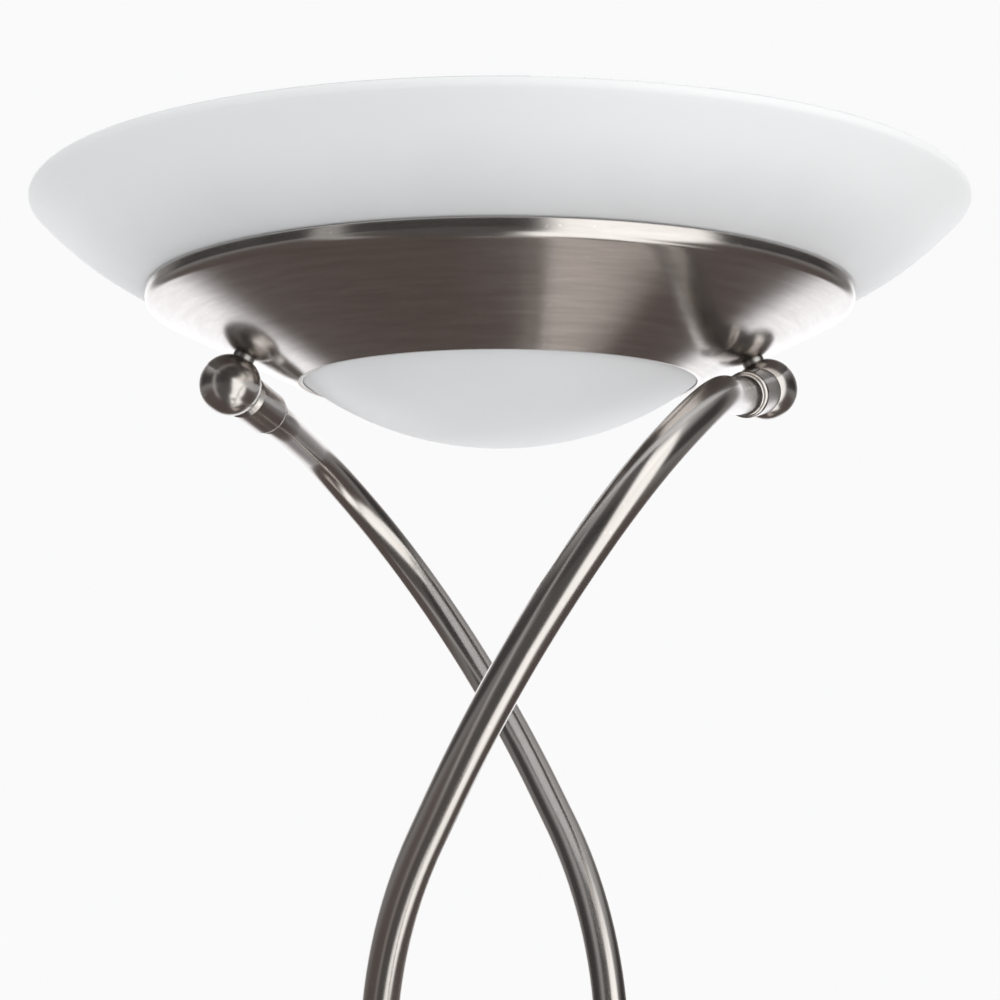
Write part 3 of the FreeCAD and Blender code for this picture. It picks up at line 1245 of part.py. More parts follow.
def shade_lens():
    """Opal dish that bulges out of the shade's mouth."""
    radius = SHADE_RADIUS - SHADE_SHEET - SEAT_GAP
    edge_height = shade_mouth() + SHADE_BAND * 0.6
    drop = math.sqrt(SHADE_LENS_SPHERE ** 2 - radius ** 2)
    centre = point_rz(0, edge_height + drop)
    inner = SHADE_LENS_SPHERE - SHADE_LENS_WALL
    spread = math.asin(radius / SHADE_LENS_SPHERE)
    outward = Vec(math.sin(spread), 0, -math.cos(spread))
    edges = [
        arc_edge(centre, centre - Z_AXIS * SHADE_LENS_SPHERE, centre + outward * SHADE_LENS_SPHERE),
        line_edge(centre + outward * SHADE_LENS_SPHERE, centre + outward * inner),
        arc_edge(centre, centre + outward * inner, centre - Z_AXIS * inner),
        line_edge(centre - Z_AXIS * inner, centre - Z_AXIS * SHADE_LENS_SPHERE),
    ]
    return leaned(revolved(edges))


def head_socket():
    """Ceramic socket screwed up against the shade's flat top."""
    top = SHADE_TOP - SHADE_SHEET - FIT_GAP
    body = Part.makeCylinder(SOCKET_RADIUS, SOCKET_LENGTH, Vec(0, 0, top - SOCKET_LENGTH))
    body = body.makeFillet(1.0, ring_edges(body, SOCKET_RADIUS, top - SOCKET_LENGTH))
    body = body.cut(rod(HEAD_SCREW_RADIUS + FIT_GAP, Vec(0, 0, top + 1),
                        Vec(0, 0, SHADE_TOP - 6 - SEAT_GAP)))
    for side in SIDES:
        start = Vec(side * BULB_PIN_SPACING / 2, 0, top - SOCKET_LENGTH - 1)
        body = body.cut(rod(BULB_PIN_RADIUS + RUNNING_GAP, start, start + Z_AXIS * 9))
    return leaned(body)


def head_bulb():
    """Capsule bulb with two pins in the socket."""
    top = SHADE_TOP - SHADE_SHEET - FIT_GAP - SOCKET_LENGTH - FIT_GAP
    end = top - BULB_LENGTH
    centre = point_rz(0, end + BULB_RADIUS)
    edges = [
        line_edge(point_rz(0, top), point_rz(BULB_RADIUS - 1.5, top)),
        line_edge(point_rz(BULB_RADIUS - 1.5, top), point_rz(BULB_RADIUS, top - 8)),
        line_edge(point_rz(BULB_RADIUS, top - 8), centre + X_AXIS * BULB_RADIUS),
        arc_edge(centre, centre + X_AXIS * BULB_RADIUS, centre - Z_AXIS * BULB_RADIUS),
        line_edge(centre - Z_AXIS * BULB_RADIUS, point_rz(0, top)),
    ]
    body = revolved(edges)
    for side in SIDES:
        start = Vec(side * BULB_PIN_SPACING / 2, 0, top - 1)
        body = body.fuse(rod(BULB_PIN_RADIUS, start, start + Z_AXIS * 8))
    return leaned(body.removeSplitter())


# ---------------------------------------------------------------- the assembly
def both(maker, *rest):
    """One piece on each side, as one group."""
    return group(maker(side, *rest) for side in SIDES)


def assembly():
    """Every sub-part by its node name."""
    stem = front_stem()
    foot = pole_foot_height()
    joint_low = POLE_JOINT_HEIGHT - JOINT_RING_LENGTH / 2
    joint_high = POLE_JOINT_HEIGHT + JOINT_RING_LENGTH / 2
    pole_top = BRIDGE_MIDDLE - SEAT_GAP / 2
    return {
        "base_pad": base_pad(),
        "base_weight": base_weight(),
        "base_cover": base_cover(),
        "cord_bush": cord_bush(),
        "foot_studs": both(foot_stud),
        "foot_washers": both(foot_washer),
        "foot_nuts": both(foot_nut),
        "foot_collars": both(foot_collar),
        "lower_pole_left": pole(-1, foot, joint_low),
        "lower_pole_right": pole(1, foot, joint_low),
        "pole_couplers": both(coupler, POLE_JOINT_HEIGHT),
        "pole_joint_rings": both(joint_ring),
        "upper_pole_left": pole(-1, joint_high, pole_top),
        "upper_pole_right": pole(1, joint_high, pole_top),
        "bridge_couplers": both(coupler, BRIDGE_MIDDLE),
        "bridge_housing": bridge_housing(),
        "bridge_back": bridge_back(),
        "bridge_back_screws": group(cover_screw(place) for place in cover_screw_places()),
        "torch_dimmer": dimmer(-1),
        "reading_dimmer": dimmer(1),
        "dimmer_nuts": both(dimmer_nut),
        "torch_knob": knob(-1),
        "torch_knob_shaft": knob_shaft(-1),
        "reading_knob": knob(1),
        "reading_knob_shaft": knob_shaft(1),
        "swivel_washer": swivel_washer(),
        "swivel_hub": swivel_hub(),
        "swivel_spring_washer": swivel_spring_washer(),
        "swivel_nut": swivel_nut(),
        "reading_arm": reading_arm(),
        "arm_fork": arm_fork(),
        "pivot_screw": pivot_screw(),
        "pivot_nut": pivot_nut(),
        "head_neck": head_neck(),
        "shade_cap": shade_cap(),
        "reading_shade": reading_shade(),
        "shade_lens": shade_lens(),
        "head_socket": head_socket(),
        "head_bulb": head_bulb(),
        "front_stem": stem,
        "rear_stem": half_turn(stem),
        "stem_collars": pair(stem_collar()),
        "collar_studs": pair(collar_stud()),
        "stem_balls": pair(ball()),
        "ball_nipples": pair(ball_nipple()),
        "nipple_washers": pair(nipple_washer()),
        "nipple_nuts": pair(nipple_nut()),
        "metal_funnel": metal_funnel(),
        "lower_lens": lower_lens(),
        "glass_bowl": glass_bowl(),
        "head_strap": head_strap(),
        "lamp_bracket": lamp_bracket(),
        "bracket_screws": both(bracket_screw),
        "bracket_nuts": both(bracket_nut),
        "lamp_sockets": both(lamp_socket),
        "linear_lamp": linear_lamp(),
    }


os.makedirs("parts", exist_ok=True)
for name, shape in assembly().items():
    shape.exportStep(os.path.join("parts", name + ".step"))
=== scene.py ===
import math

import bmesh
import bpy
from mathutils import Matrix, Vector


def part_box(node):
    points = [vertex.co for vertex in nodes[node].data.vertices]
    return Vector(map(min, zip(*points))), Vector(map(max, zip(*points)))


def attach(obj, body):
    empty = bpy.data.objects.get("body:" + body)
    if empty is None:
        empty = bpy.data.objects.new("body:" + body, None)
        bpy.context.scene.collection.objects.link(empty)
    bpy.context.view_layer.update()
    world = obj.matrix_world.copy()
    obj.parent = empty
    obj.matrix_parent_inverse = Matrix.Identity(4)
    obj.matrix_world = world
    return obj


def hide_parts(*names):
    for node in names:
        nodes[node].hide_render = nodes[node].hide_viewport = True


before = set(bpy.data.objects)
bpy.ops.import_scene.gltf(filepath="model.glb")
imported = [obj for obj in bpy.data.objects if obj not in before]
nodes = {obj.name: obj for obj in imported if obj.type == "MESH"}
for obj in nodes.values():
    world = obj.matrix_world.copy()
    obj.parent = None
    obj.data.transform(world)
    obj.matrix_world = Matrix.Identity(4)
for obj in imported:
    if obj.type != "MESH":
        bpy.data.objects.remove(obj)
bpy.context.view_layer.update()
scene = bpy.context.scene

# ---------------------------------------------------------------- camera
# The photograph was taken from about a metre away, a hand's width below the bowl, with
# the camera tipped up a little and turned 3 degrees to the right of the lamp's front.
camera_distance = 1.012
camera_height = 1.5537
camera_azimuth = math.radians(3.04)
camera_tip = math.radians(6.441)
heading = Vector((math.sin(camera_azimuth) * math.cos(camera_tip),
                  math.cos(camera_azimuth) * math.cos(camera_tip), math.sin(camera_tip)))
camera_data = bpy.data.cameras.new("camera")
camera_data.sensor_width = 36.0
camera_data.lens = 81.8
camera_data.clip_end = 50.0
camera = bpy.data.objects.new("camera", camera_data)
camera.location = (-camera_distance * math.sin(camera_azimuth),
                   -camera_distance * math.cos(camera_azimuth), camera_height)
camera.rotation_mode = "QUATERNION"
camera.rotation_quaternion = heading.to_track_quat("-Z", "Y")
scene.collection.objects.link(camera)
scene.camera = camera
scene.view_settings.view_transform = "Standard"


# ---------------------------------------------------------------- studio
# A room with a white sweep behind the lamp, dark walls on the camera's side, a tall
# softbox at the right and a narrow one at the left. The camera sees plain off-white all
# round; only the metal and the glass mirror the room.
def fit(tree, node, inputs):
    """Links or sets a node's inputs, by socket name or index."""
    for name, value in inputs.items():
        socket = node.inputs[name]
        if isinstance(value, bpy.types.NodeSocket):
            tree.links.new(value, socket)
        else:
            socket.default_value = value


def add(tree, kind, inputs=None, **settings):
    """A new node with its properties and its inputs set."""
    node = tree.nodes.new(kind)
    for name, value in settings.items():
        setattr(node, name, value)
    fit(tree, node, inputs or {})
    return node


def math_of(tree, operation, *values):
    """A sum, product or the like of one to three values."""
    inputs = dict(enumerate(values))
    return add(tree, "ShaderNodeMath", inputs, operation=operation).outputs[0]


def vector_of(tree, operation, *vectors):
    """A vector from one or two others."""
    inputs = dict(enumerate(vectors))
    return add(tree, "ShaderNodeVectorMath", inputs, operation=operation).outputs[0]


def length_of(tree, operation, *vectors):
    """A single value from one or two vectors: a length or a product."""
    inputs = dict(enumerate(vectors))
    return add(tree, "ShaderNodeVectorMath", inputs, operation=operation).outputs["Value"]


def step_between(tree, value, low, high, rising=True):
    """0 under low, 1 over high, smooth in between; the other way round if not rising."""
    start, end = (0.0, 1.0) if rising else (1.0, 0.0)
    return add(tree, "ShaderNodeMapRange", interpolation_type="SMOOTHSTEP", inputs={
        "Value": value, "From Min": low, "From Max": high,
        "To Min": start, "To Max": end}).outputs["Result"]


def band(tree, value, low, high, soft_low, soft_high):
    """1 between low and high, 0 outside, with an edge of its own softness at each."""
    rise = step_between(tree, value, low - soft_low / 2, low + soft_low / 2)
    fall = step_between(tree, value, high - soft_high / 2, high + soft_high / 2, False)
    return math_of(tree, "MULTIPLY", rise, fall)


def mix_colours(tree, share, first, second):
    """One colour turned into another by a share from 0 to 1."""
    first, second = (colour if isinstance(colour, bpy.types.NodeSocket) else (*colour, 1.0)
                     for colour in (first, second))
    return add(tree, "ShaderNodeMix", {0: share, 6: first, 7: second},
               data_type="RGBA").outputs[2]


paper_white = (0.955, 0.955, 0.957)
room_low = (0.120, 0.098, 0.090)
room_side = (0.245, 0.238, 0.232)
room_high = (0.52, 0.52, 0.52)
room_front = (0.105, 0.098, 0.095)
room_gallery = (0.050, 0.047, 0.045)
left_strip = (0.46, 0.45, 0.44)
right_softbox = (1.55, 1.53, 1.50)
sweep_white = (1.28, 1.28, 1.31)
low_reflector = (0.66, 0.60, 0.56)
fill_low = (0.74, 0.745, 0.75)
fill_high = (0.90, 0.905, 0.91)

world = bpy.data.worlds.new("studio")
scene.world = world
world.use_nodes = True
tree = world.node_tree
tree.nodes.clear()

# Places in the room go by degrees to the right of the camera's side, and by height, the
# sine of the elevation. Each edge has a softness in the same measure.
direction = add(tree, "ShaderNodeTexCoord").outputs["Generated"]
split = add(tree, "ShaderNodeSeparateXYZ", {"Vector": direction})
right, back, height = split.outputs
turn = math_of(tree, "ARCTAN2", right, math_of(tree, "MULTIPLY", back, -1.0))
turn = math_of(tree, "MULTIPLY", turn, 180.0 / math.pi)
behind = math_of(tree, "ABSOLUTE", turn)


def panel(turns, turns_soft, heights, heights_soft):
    """Where in the room a panel hangs."""
    return math_of(tree, "MULTIPLY", band(tree, turn, *turns, *turns_soft),
                   band(tree, height, *heights, *heights_soft))


low_wall = step_between(tree, height, -0.40, -0.05)
high_wall = step_between(tree, height, 0.30, 0.90)
front = band(tree, turn, -44.0, 14.0, soft_low=14.0, soft_high=8.0)
gallery = math_of(tree, "MULTIPLY", band(tree, height, 0.02, 0.50, 0.10, 0.30),
                  step_between(tree, behind, 120.0, 136.0, rising=False))
strip = panel(turns=(-63.0, -52.0), turns_soft=(5.0, 5.0),
              heights=(-0.75, 0.55), heights_soft=(0.3, 0.3))
softbox = panel(turns=(12.0, 66.0), turns_soft=(10.0, 9.0),
                heights=(-0.78, 0.82), heights_soft=(0.25, 0.2))
table = math_of(tree, "MULTIPLY", step_between(tree, right, 0.0, 0.14),
                step_between(tree, back, 0.05, 0.25, rising=False))
table = math_of(tree, "MULTIPLY", table, step_between(tree, height, -0.72, -0.62, rising=False))
table = math_of(tree, "MULTIPLY", table, step_between(tree, right, 0.48, 0.62, rising=False))
lit = math_of(tree, "MAXIMUM", softbox, table)
sweep = math_of(tree, "MULTIPLY", step_between(tree, behind, 142.0, 153.0),
                step_between(tree, height, -0.56, -0.37))
reflector = panel(turns=(146.0, 166.5), turns_soft=(5.0, 1.5),
                  heights=(-0.97, -0.79), heights_soft=(0.04, 0.06))

room = mix_colours(tree, low_wall, room_low, room_side)
for share, colour in ((high_wall, room_high), (front, room_front), (gallery, room_gallery),
                      (strip, left_strip), (lit, right_softbox), (sweep, sweep_white),
                      (reflector, low_reflector)):
    room = mix_colours(tree, share, room, colour)
fill = mix_colours(tree, step_between(tree, height, -1.0, 1.0), fill_low, fill_high)

path = add(tree, "ShaderNodeLightPath")
seen = mix_colours(tree, path.outputs["Is Glossy Ray"], fill, room)
seen = mix_colours(tree, path.outputs["Is Transmission Ray"], seen, paper_white)
seen = mix_colours(tree, path.outputs["Is Camera Ray"], seen, paper_white)
light = add(tree, "ShaderNodeBackground", {"Color": seen, "Strength": 1.0})
add(tree, "ShaderNodeOutputWorld", {"Surface": light.outputs[0]})

# The softbox that the metal mirrors above sheds its light from a lamp of its own.
key_azimuth = math.radians(52)
key_distance = 2.3
key_height = 2.05
key_aim = 1.7
key_width = 1.5
key_tall = 1.6
key_radiance = 1.5
watts_per_radiance = 4.0
key_data = bpy.data.lights.new("key_softbox", "AREA")
key_data.shape = "RECTANGLE"
key_data.size = key_width
key_data.size_y = key_tall
key_data.energy = watts_per_radiance * key_radiance * key_width * key_tall
key_data.color = (1.0, 0.99, 0.975)
key = bpy.data.objects.new("key_softbox", key_data)
key.location = (key_distance * math.sin(key_azimuth), -key_distance * math.cos(key_azimuth),
                key_height)
key.rotation_mode = "QUATERNION"
key.rotation_quaternion = (Vector((0, 0, key_aim)) - key.location).to_track_quat("-Z", "Y")
scene.collection.objects.link(key)
key.visible_camera = False
key.visible_glossy = False

# The floor is pale paper that fades into the backdrop some metres out. It shows from
# above only, so that the lamp can be looked at from below.
floor_radius = 6.0
floor_sides = 96
floor_drop = 0.0002
fade_start = 0.9
fade_end = 4.2
paper_tone = (0.88, 0.88, 0.885, 1.0)


def object_place(tree):
    """The object's own coordinates, in metres."""
    return add(tree, "ShaderNodeTexCoord").outputs["Object"]


edge = [(floor_radius * math.cos(math.tau * i / floor_sides),
         floor_radius * math.sin(math.tau * i / floor_sides), -floor_drop)
        for i in range(floor_sides)]
floor_mesh = bpy.data.meshes.new("floor")
floor_mesh.from_pydata(edge, [], [list(range(floor_sides))])
floor = bpy.data.objects.new("floor", floor_mesh)
scene.collection.objects.link(floor)
floor.visible_glossy = False
paper = bpy.data.materials.new("floor_paper")
paper.use_nodes = True
tree = paper.node_tree
tree.nodes.clear()
fade = step_between(tree, length_of(tree, "LENGTH", object_place(tree)), fade_start, fade_end)
below = add(tree, "ShaderNodeNewGeometry").outputs["Backfacing"]
gone = math_of(tree, "MAXIMUM", fade, below)
sheet = add(tree, "ShaderNodeBsdfDiffuse", {"Color": paper_tone})
clear = add(tree, "ShaderNodeBsdfTransparent")
blend = add(tree, "ShaderNodeMixShader", {0: gone, 1: sheet.outputs[0], 2: clear.outputs[0]})
add(tree, "ShaderNodeOutputMaterial", {"Surface": blend.outputs[0]})
floor_mesh.materials.append(paper)


# ---------------------------------------------------------------- felt pad
# A disc of black pressed felt glued under the weight. Its fibres show as a fine fuzz at
# the edge and round the two holes that the foot nuts are reached through.
def dress(names, material):
    """Gives CAD nodes their finish."""
    for name in names:
        for holder in nodes[name].material_slots:
            holder.material = material


def new_material(name):
    """An empty material with a Principled surface; returns material, tree and surface."""
    material = bpy.data.materials.new(name)
    material.use_nodes = True
    tree = material.node_tree
    tree.nodes.clear()
    surface = tree.nodes.new("ShaderNodeBsdfPrincipled")
    add(tree, "ShaderNodeOutputMaterial", {"Surface": surface.outputs[0]})
    return material, tree, surface


def noise(tree, vector, scale, detail=3.0, roughness=0.5):
    """Cloudy values round 0.5; the scale counts clouds to the metre."""
    return add(tree, "ShaderNodeTexNoise", {
        "Vector": vector, "Scale": scale, "Detail": detail,
        "Roughness": roughness}).outputs["Fac"]


def bump(tree, height, distance, strength=1.0):
    """Relief as deep as distance, in metres."""
    return add(tree, "ShaderNodeBump", {
        "Height": height, "Distance": distance, "Strength": strength}).outputs["Normal"]


def range_of(tree, value, low, high, start=0.3, end=0.7):
    """The value, which runs from start to end, as low to high."""
    return add(tree, "ShaderNodeMapRange", {
        "Value": value, "From Min": start, "From Max": end,
        "To Min": low, "To Max": high}).outputs["Result"]


felt, tree, surface = new_material("black_felt")
fuzz = noise(tree, object_place(tree), scale=900.0, detail=6.0, roughness=0.7)
fit(tree, surface, {
    "Base Color": mix_colours(tree, fuzz, (0.012, 0.012, 0.013), (0.055, 0.053, 0.052)),
    "Roughness": 0.95, "Sheen Weight": 0.6, "Normal": bump(tree, fuzz, 0.0008)})
dress(["base_pad"], felt)


# ---------------------------------------------------------------- cast weight
# Grey iron cast in sand and dipped in thin dark primer. It fills the cover and shows
# through the pad's two holes only.
iron, tree, surface = new_material("cast_iron_primed")
place = object_place(tree)
sand = noise(tree, place, scale=420.0, detail=5.0, roughness=0.65)
patches = noise(tree, place, scale=28.0)
fit(tree, surface, {
    "Base Color": mix_colours(tree, patches, (0.045, 0.046, 0.048), (0.085, 0.083, 0.080)),
    "Roughness": range_of(tree, patches, 0.66, 0.80),
    "Normal": bump(tree, sand, 0.0012, strength=0.6)})
dress(["base_weight"], iron)


# ---------------------------------------------------------------- base cover
# Steel sheet spun over a form, brushed while it turns, then plated in satin nickel. The
# brushing runs round the axis, so it blurs what it mirrors from middle to rim only.
def brushing_group():
    """Brushed metal from coordinates in metres: lines, tone, wear and handling marks."""
    group = bpy.data.node_groups.new("brushing", "ShaderNodeTree")
    face = group.interface
    face.new_socket("Vector", in_out="INPUT", socket_type="NodeSocketVector")
    for name, value in (("Lines", 2400.0), ("Streaks", 190.0), ("Marks", 0.5)):
        face.new_socket(name, in_out="INPUT", socket_type="NodeSocketFloat").default_value = value
    for name in ("Height", "Tone", "Wear", "Mark"):
        face.new_socket(name, in_out="OUTPUT", socket_type="NodeSocketFloat")
    start = group.nodes.new("NodeGroupInput")
    end = group.nodes.new("NodeGroupOutput")
    vector = start.outputs["Vector"]
    lines = noise(group, vector, start.outputs["Lines"], 2.0, 0.6)
    streaks = noise(group, vector, start.outputs["Streaks"], 4.0, 0.65)
    wear = noise(group, object_place(group), 16.0, 3.0, 0.6)
    specks = noise(group, object_place(group), 330.0, 1.0, 0.4)
    nick = step_between(group, specks, 0.735, 0.765)
    fit(group, end, {
        "Height": math_of(group, "MULTIPLY_ADD", streaks, 0.6, lines),
        "Tone": range_of(group, streaks, 0.0, 1.0), "Wear": wear,
        "Mark": math_of(group, "MULTIPLY", nick, start.outputs["Marks"])})
    return group


brushing = brushing_group()


def scaled(tree, vector, factor):
    """A vector made longer or shorter."""
    return add(tree, "ShaderNodeVectorMath", {0: vector, "Scale": factor},
               operation="SCALE").outputs[0]


def about_axis(centre, axis, stretch):
    """Brush coordinates for a piece turned about an axis: slow round it, fast along."""
    def coordinates(tree):
        place = vector_of(tree, "SUBTRACT", object_place(tree), centre)
        along = length_of(tree, "DOT_PRODUCT", place, axis)
        flat = vector_of(tree, "SUBTRACT", place, scaled(tree, axis, along))
        radius = length_of(tree, "LENGTH", flat)
        slow = scaled(tree, vector_of(tree, "NORMALIZE", flat), stretch)
        fast = scaled(tree, axis, math_of(tree, "ADD", radius, along))
        return vector_of(tree, "ADD", slow, fast)
    return coordinates


nickel_low = (0.555, 0.527, 0.505)
nickel_high = (0.665, 0.640, 0.618)
bare_nickel = (0.80, 0.79, 0.77)
wear_range = 0.025


def nickel(name, coordinates, roughness, depth, spread=0.0, marks=0.5):
    """Satin nickel over brushed metal; spread is how much one way blurs more."""
    material, tree, surface = new_material(name)
    grain = add(tree, "ShaderNodeGroup", node_tree=brushing)
    fit(tree, grain, {"Marks": marks, "Vector": coordinates(tree)})
    tone = mix_colours(tree, grain.outputs["Tone"], nickel_low, nickel_high)
    fit(tree, surface, {
        "Base Color": mix_colours(tree, grain.outputs["Mark"], tone, bare_nickel),
        "Metallic": 1.0,
        "Roughness": range_of(tree, grain.outputs["Wear"], roughness - wear_range,
                              roughness + wear_range),
        "Normal": bump(tree, grain.outputs["Height"], depth)})
    if spread:
        tangent = add(tree, "ShaderNodeTangent", direction_type="RADIAL", axis="Z")
        fit(tree, surface, {"Tangent": tangent.outputs[0], "Anisotropic": spread,
                            "Anisotropic Rotation": 0.25})
    return material


lamp_centre = (0.0, 0.0, 0.0)
lamp_axis = (0.0, 0.0, 1.0)
spun_nickel = nickel("spun_nickel", about_axis(lamp_centre, lamp_axis, stretch=0.02),
                     roughness=0.19, depth=0.000012, spread=0.7)
dress(["base_cover"], spun_nickel)


# ---------------------------------------------------------------- cord bush
# A soft black rubber ring pressed into the back of the cover's band, open for a cord.
def speckled(name, grain, low, high, roughness, relief=None, extras=None):
    """A material whose colour, roughness and relief follow one fine noise."""
    material, tree, surface = new_material(name)
    speckle = noise(tree, object_place(tree), *grain)
    fit(tree, surface, {"Base Color": mix_colours(tree, speckle, low, high),
                        "Roughness": range_of(tree, speckle, *roughness), **(extras or {})})
    if relief:
        fit(tree, surface, {"Normal": bump(tree, speckle, relief)})
    return material


rubber = speckled("black_rubber", (700.0, 4.0, 0.6), (0.014, 0.014, 0.014),
                  (0.030, 0.030, 0.031), roughness=(0.56, 0.68), relief=0.0002)
dress(["cord_bush"], rubber)


# ---------------------------------------------------------------- foot studs and nuts
# Hollow studs from under the weight up into the poles, with a washer and a nut each, of
# bright zinc-plated steel. The same stock joins the lengths of the poles.
zinc = speckled("zinc_plated_steel", (160.0, 4.0, 0.6), (0.48, 0.49, 0.49),
                (0.70, 0.70, 0.66), roughness=(0.30, 0.46), relief=0.0001,
                extras={"Metallic": 1.0})
dress(["foot_studs", "foot_washers", "foot_nuts", "pole_couplers", "bridge_couplers"], zinc)


# ---------------------------------------------------------------- foot collars
# Feet turned from bar on a lathe, flared where they stand on the cover, then brushed
# and plated. The two are alike, so one finish in plain coordinates serves both.
def stretched(*factors):
    """Brush coordinates drawn out across the lines: slow where a factor is small."""
    return lambda tree: vector_of(tree, "MULTIPLY", object_place(tree), factors)


upright_lines = stretched(0.30, 0.30, 1.0)
turned_nickel = nickel("turned_nickel", upright_lines, roughness=0.23, depth=0.000008)
dress(["foot_collars", "pole_joint_rings"], turned_nickel)


# ---------------------------------------------------------------- poles
# Four straight lengths of 16 mm drawn steel tube, belt-brushed along their length and
# plated. A turned ring covers the joint between the lower and the upper ones.
def drawn_tube_tree():
    """Sweeps a round tube along a path and keeps where each point lies on the tube."""
    tree = bpy.data.node_groups.new("drawn_tube", "GeometryNodeTree")
    face = tree.interface
    face.new_socket("Geometry", in_out="INPUT", socket_type="NodeSocketGeometry")
    face.new_socket("Radius", in_out="INPUT", socket_type="NodeSocketFloat")
    face.new_socket("Sides", in_out="INPUT", socket_type="NodeSocketInt")
    face.new_socket("Finish", in_out="INPUT", socket_type="NodeSocketMaterial")
    face.new_socket("Geometry", in_out="OUTPUT", socket_type="NodeSocketGeometry")
    start = tree.nodes.new("NodeGroupInput")
    end = tree.nodes.new("NodeGroupOutput")
    line = add(tree, "GeometryNodeMeshToCurve", inputs={"Mesh": start.outputs["Geometry"]})
    length = add(tree, "GeometryNodeSplineParameter").outputs["Length"]
    on_line = tree.nodes.new("GeometryNodeCaptureAttribute")
    on_line.capture_items.new("FLOAT", "Length")
    fit(tree, on_line, {0: line.outputs[0], 1: length})
    circle = add(tree, "GeometryNodeCurvePrimitiveCircle", {
        "Resolution": start.outputs["Sides"], "Radius": start.outputs["Radius"]})
    on_circle = tree.nodes.new("GeometryNodeCaptureAttribute")
    on_circle.capture_items.new("VECTOR", "Place")
    place = add(tree, "GeometryNodeInputPosition").outputs[0]
    fit(tree, on_circle, {0: circle.outputs[0], 1: place})
    sweep = add(tree, "GeometryNodeCurveToMesh", inputs={
        "Curve": on_line.outputs[0], "Profile Curve": on_circle.outputs[0], "Fill Caps": True})
    split = add(tree, "ShaderNodeSeparateXYZ", inputs={0: on_circle.outputs[1]})
    where = add(tree, "ShaderNodeCombineXYZ", inputs={
        0: split.outputs[0], 1: split.outputs[1], 2: on_line.outputs[1]})
    store = add(tree, "GeometryNodeStoreNamedAttribute", data_type="FLOAT_VECTOR",
                domain="POINT", inputs={
                    "Name": "grain", "Geometry": sweep.outputs[0], "Value": where.outputs[0]})
    realize = add(tree, "GeometryNodeRealizeInstances", inputs={0: store.outputs[0]})
    coat = add(tree, "GeometryNodeSetMaterial", inputs={
        "Geometry": realize.outputs[0], "Material": start.outputs["Finish"]})
    tree.links.new(coat.outputs[0], end.inputs[0])
    return tree


def along_tube(tree):
    """Brush coordinates from a tube's own grain: slow along it, fast round it."""
    grain = add(tree, "ShaderNodeAttribute", attribute_name="grain").outputs["Vector"]
    return vector_of(tree, "MULTIPLY", grain, (1.0, 1.0, 0.03))


drawn_tube = drawn_tube_tree()
drawn_nickel = nickel("drawn_nickel", along_tube, roughness=0.20, depth=0.000007, marks=0.3)
tube_sides = 56


def swept(name, points, radius, body, node):
    """A drawn tube along points, in place of a node, riding on its body."""
    mesh = bpy.data.meshes.new(name + "_path")
    mesh.from_pydata(points, [(i, i + 1) for i in range(len(points) - 1)], [])
    line = bpy.data.objects.new(name + "_path", mesh)
    scene.collection.objects.link(line)
    maker = line.modifiers.new("drawn_tube", "NODES")
    maker.node_group = drawn_tube
    values = {"Radius": radius, "Sides": tube_sides, "Finish": drawn_nickel}
    for item in drawn_tube.interface.items_tree:
        if item.in_out == "INPUT" and item.name in values:
            maker[item.identifier] = values[item.name]
    graph = bpy.context.evaluated_depsgraph_get()
    shape = bpy.data.meshes.new_from_object(line.evaluated_get(graph))
    line.modifiers.remove(maker)
    bpy.data.objects.remove(line)
    shape.name = name
    for face in shape.polygons:
        face.use_smooth = len(face.vertices) == 4
    piece = bpy.data.objects.new(name, shape)
    scene.collection.objects.link(piece)
    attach(piece, body)
    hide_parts(node)


tube_radius = 0.008
for node in ("lower_pole_left", "lower_pole_right", "upper_pole_left", "upper_pole_right"):
    low, high = (Vector(corner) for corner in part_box(node))
    middle = (low + high) / 2
    run = [(middle.x, middle.y, low.z), (middle.x, middle.y, high.z)]
    swept(node + "_tube", run, tube_radius, "stand", node)


# ---------------------------------------------------------------- control bridge
# A housing cast in zinc alloy that holds both poles and carries the controls, with a
# cast back held by two countersunk screws. Fettled, tumbled and plated like the tubes.
cast_nickel = nickel("cast_nickel", stretched(0.05, 1.0, 1.0), roughness=0.29, depth=0.00001)
dress(["bridge_housing", "bridge_back"], cast_nickel)
dress(["bridge_back_screws"], zinc)


# ---------------------------------------------------------------- dimmers
# Two rotary dimmers in black moulded cases behind the front wall, each held by a thin
# hexagonal nut under its knob.
case = speckled("black_moulded_plastic", (1500.0, 2.0, 0.5), (0.018, 0.018, 0.020),
                (0.040, 0.040, 0.043), roughness=(0.44, 0.58), relief=0.00008)
dress(["torch_dimmer", "reading_dimmer"], case)
dress(["dimmer_nuts", "torch_knob_shaft", "reading_knob_shaft"], zinc)


# ---------------------------------------------------------------- knobs
# Two solid knobs turned from bar, fluted round the grip, each with a short milled line
# on its face. They are pressed on the dimmers' shafts and turn about the Y axis.
knob_nickel = nickel("knob_nickel", stretched(0.3, 1.0, 0.3), roughness=0.22,
                     depth=0.000008, marks=0.8)
dress(["torch_knob", "reading_knob"], knob_nickel)


# ---------------------------------------------------------------- swivel
# The arm's hub is turned in one piece with the stem that passes down through the nose.
# A white slip washer lies under it, and a spring washer and a lock nut hold it below.
slip = speckled("white_slip_plastic", (260.0,), (0.74, 0.74, 0.71), (0.84, 0.84, 0.81),
                roughness=(0.36, 0.46))
dress(["swivel_washer"], slip)
dress(["swivel_hub"], turned_nickel)
dress(["swivel_spring_washer", "swivel_nut"], zinc)


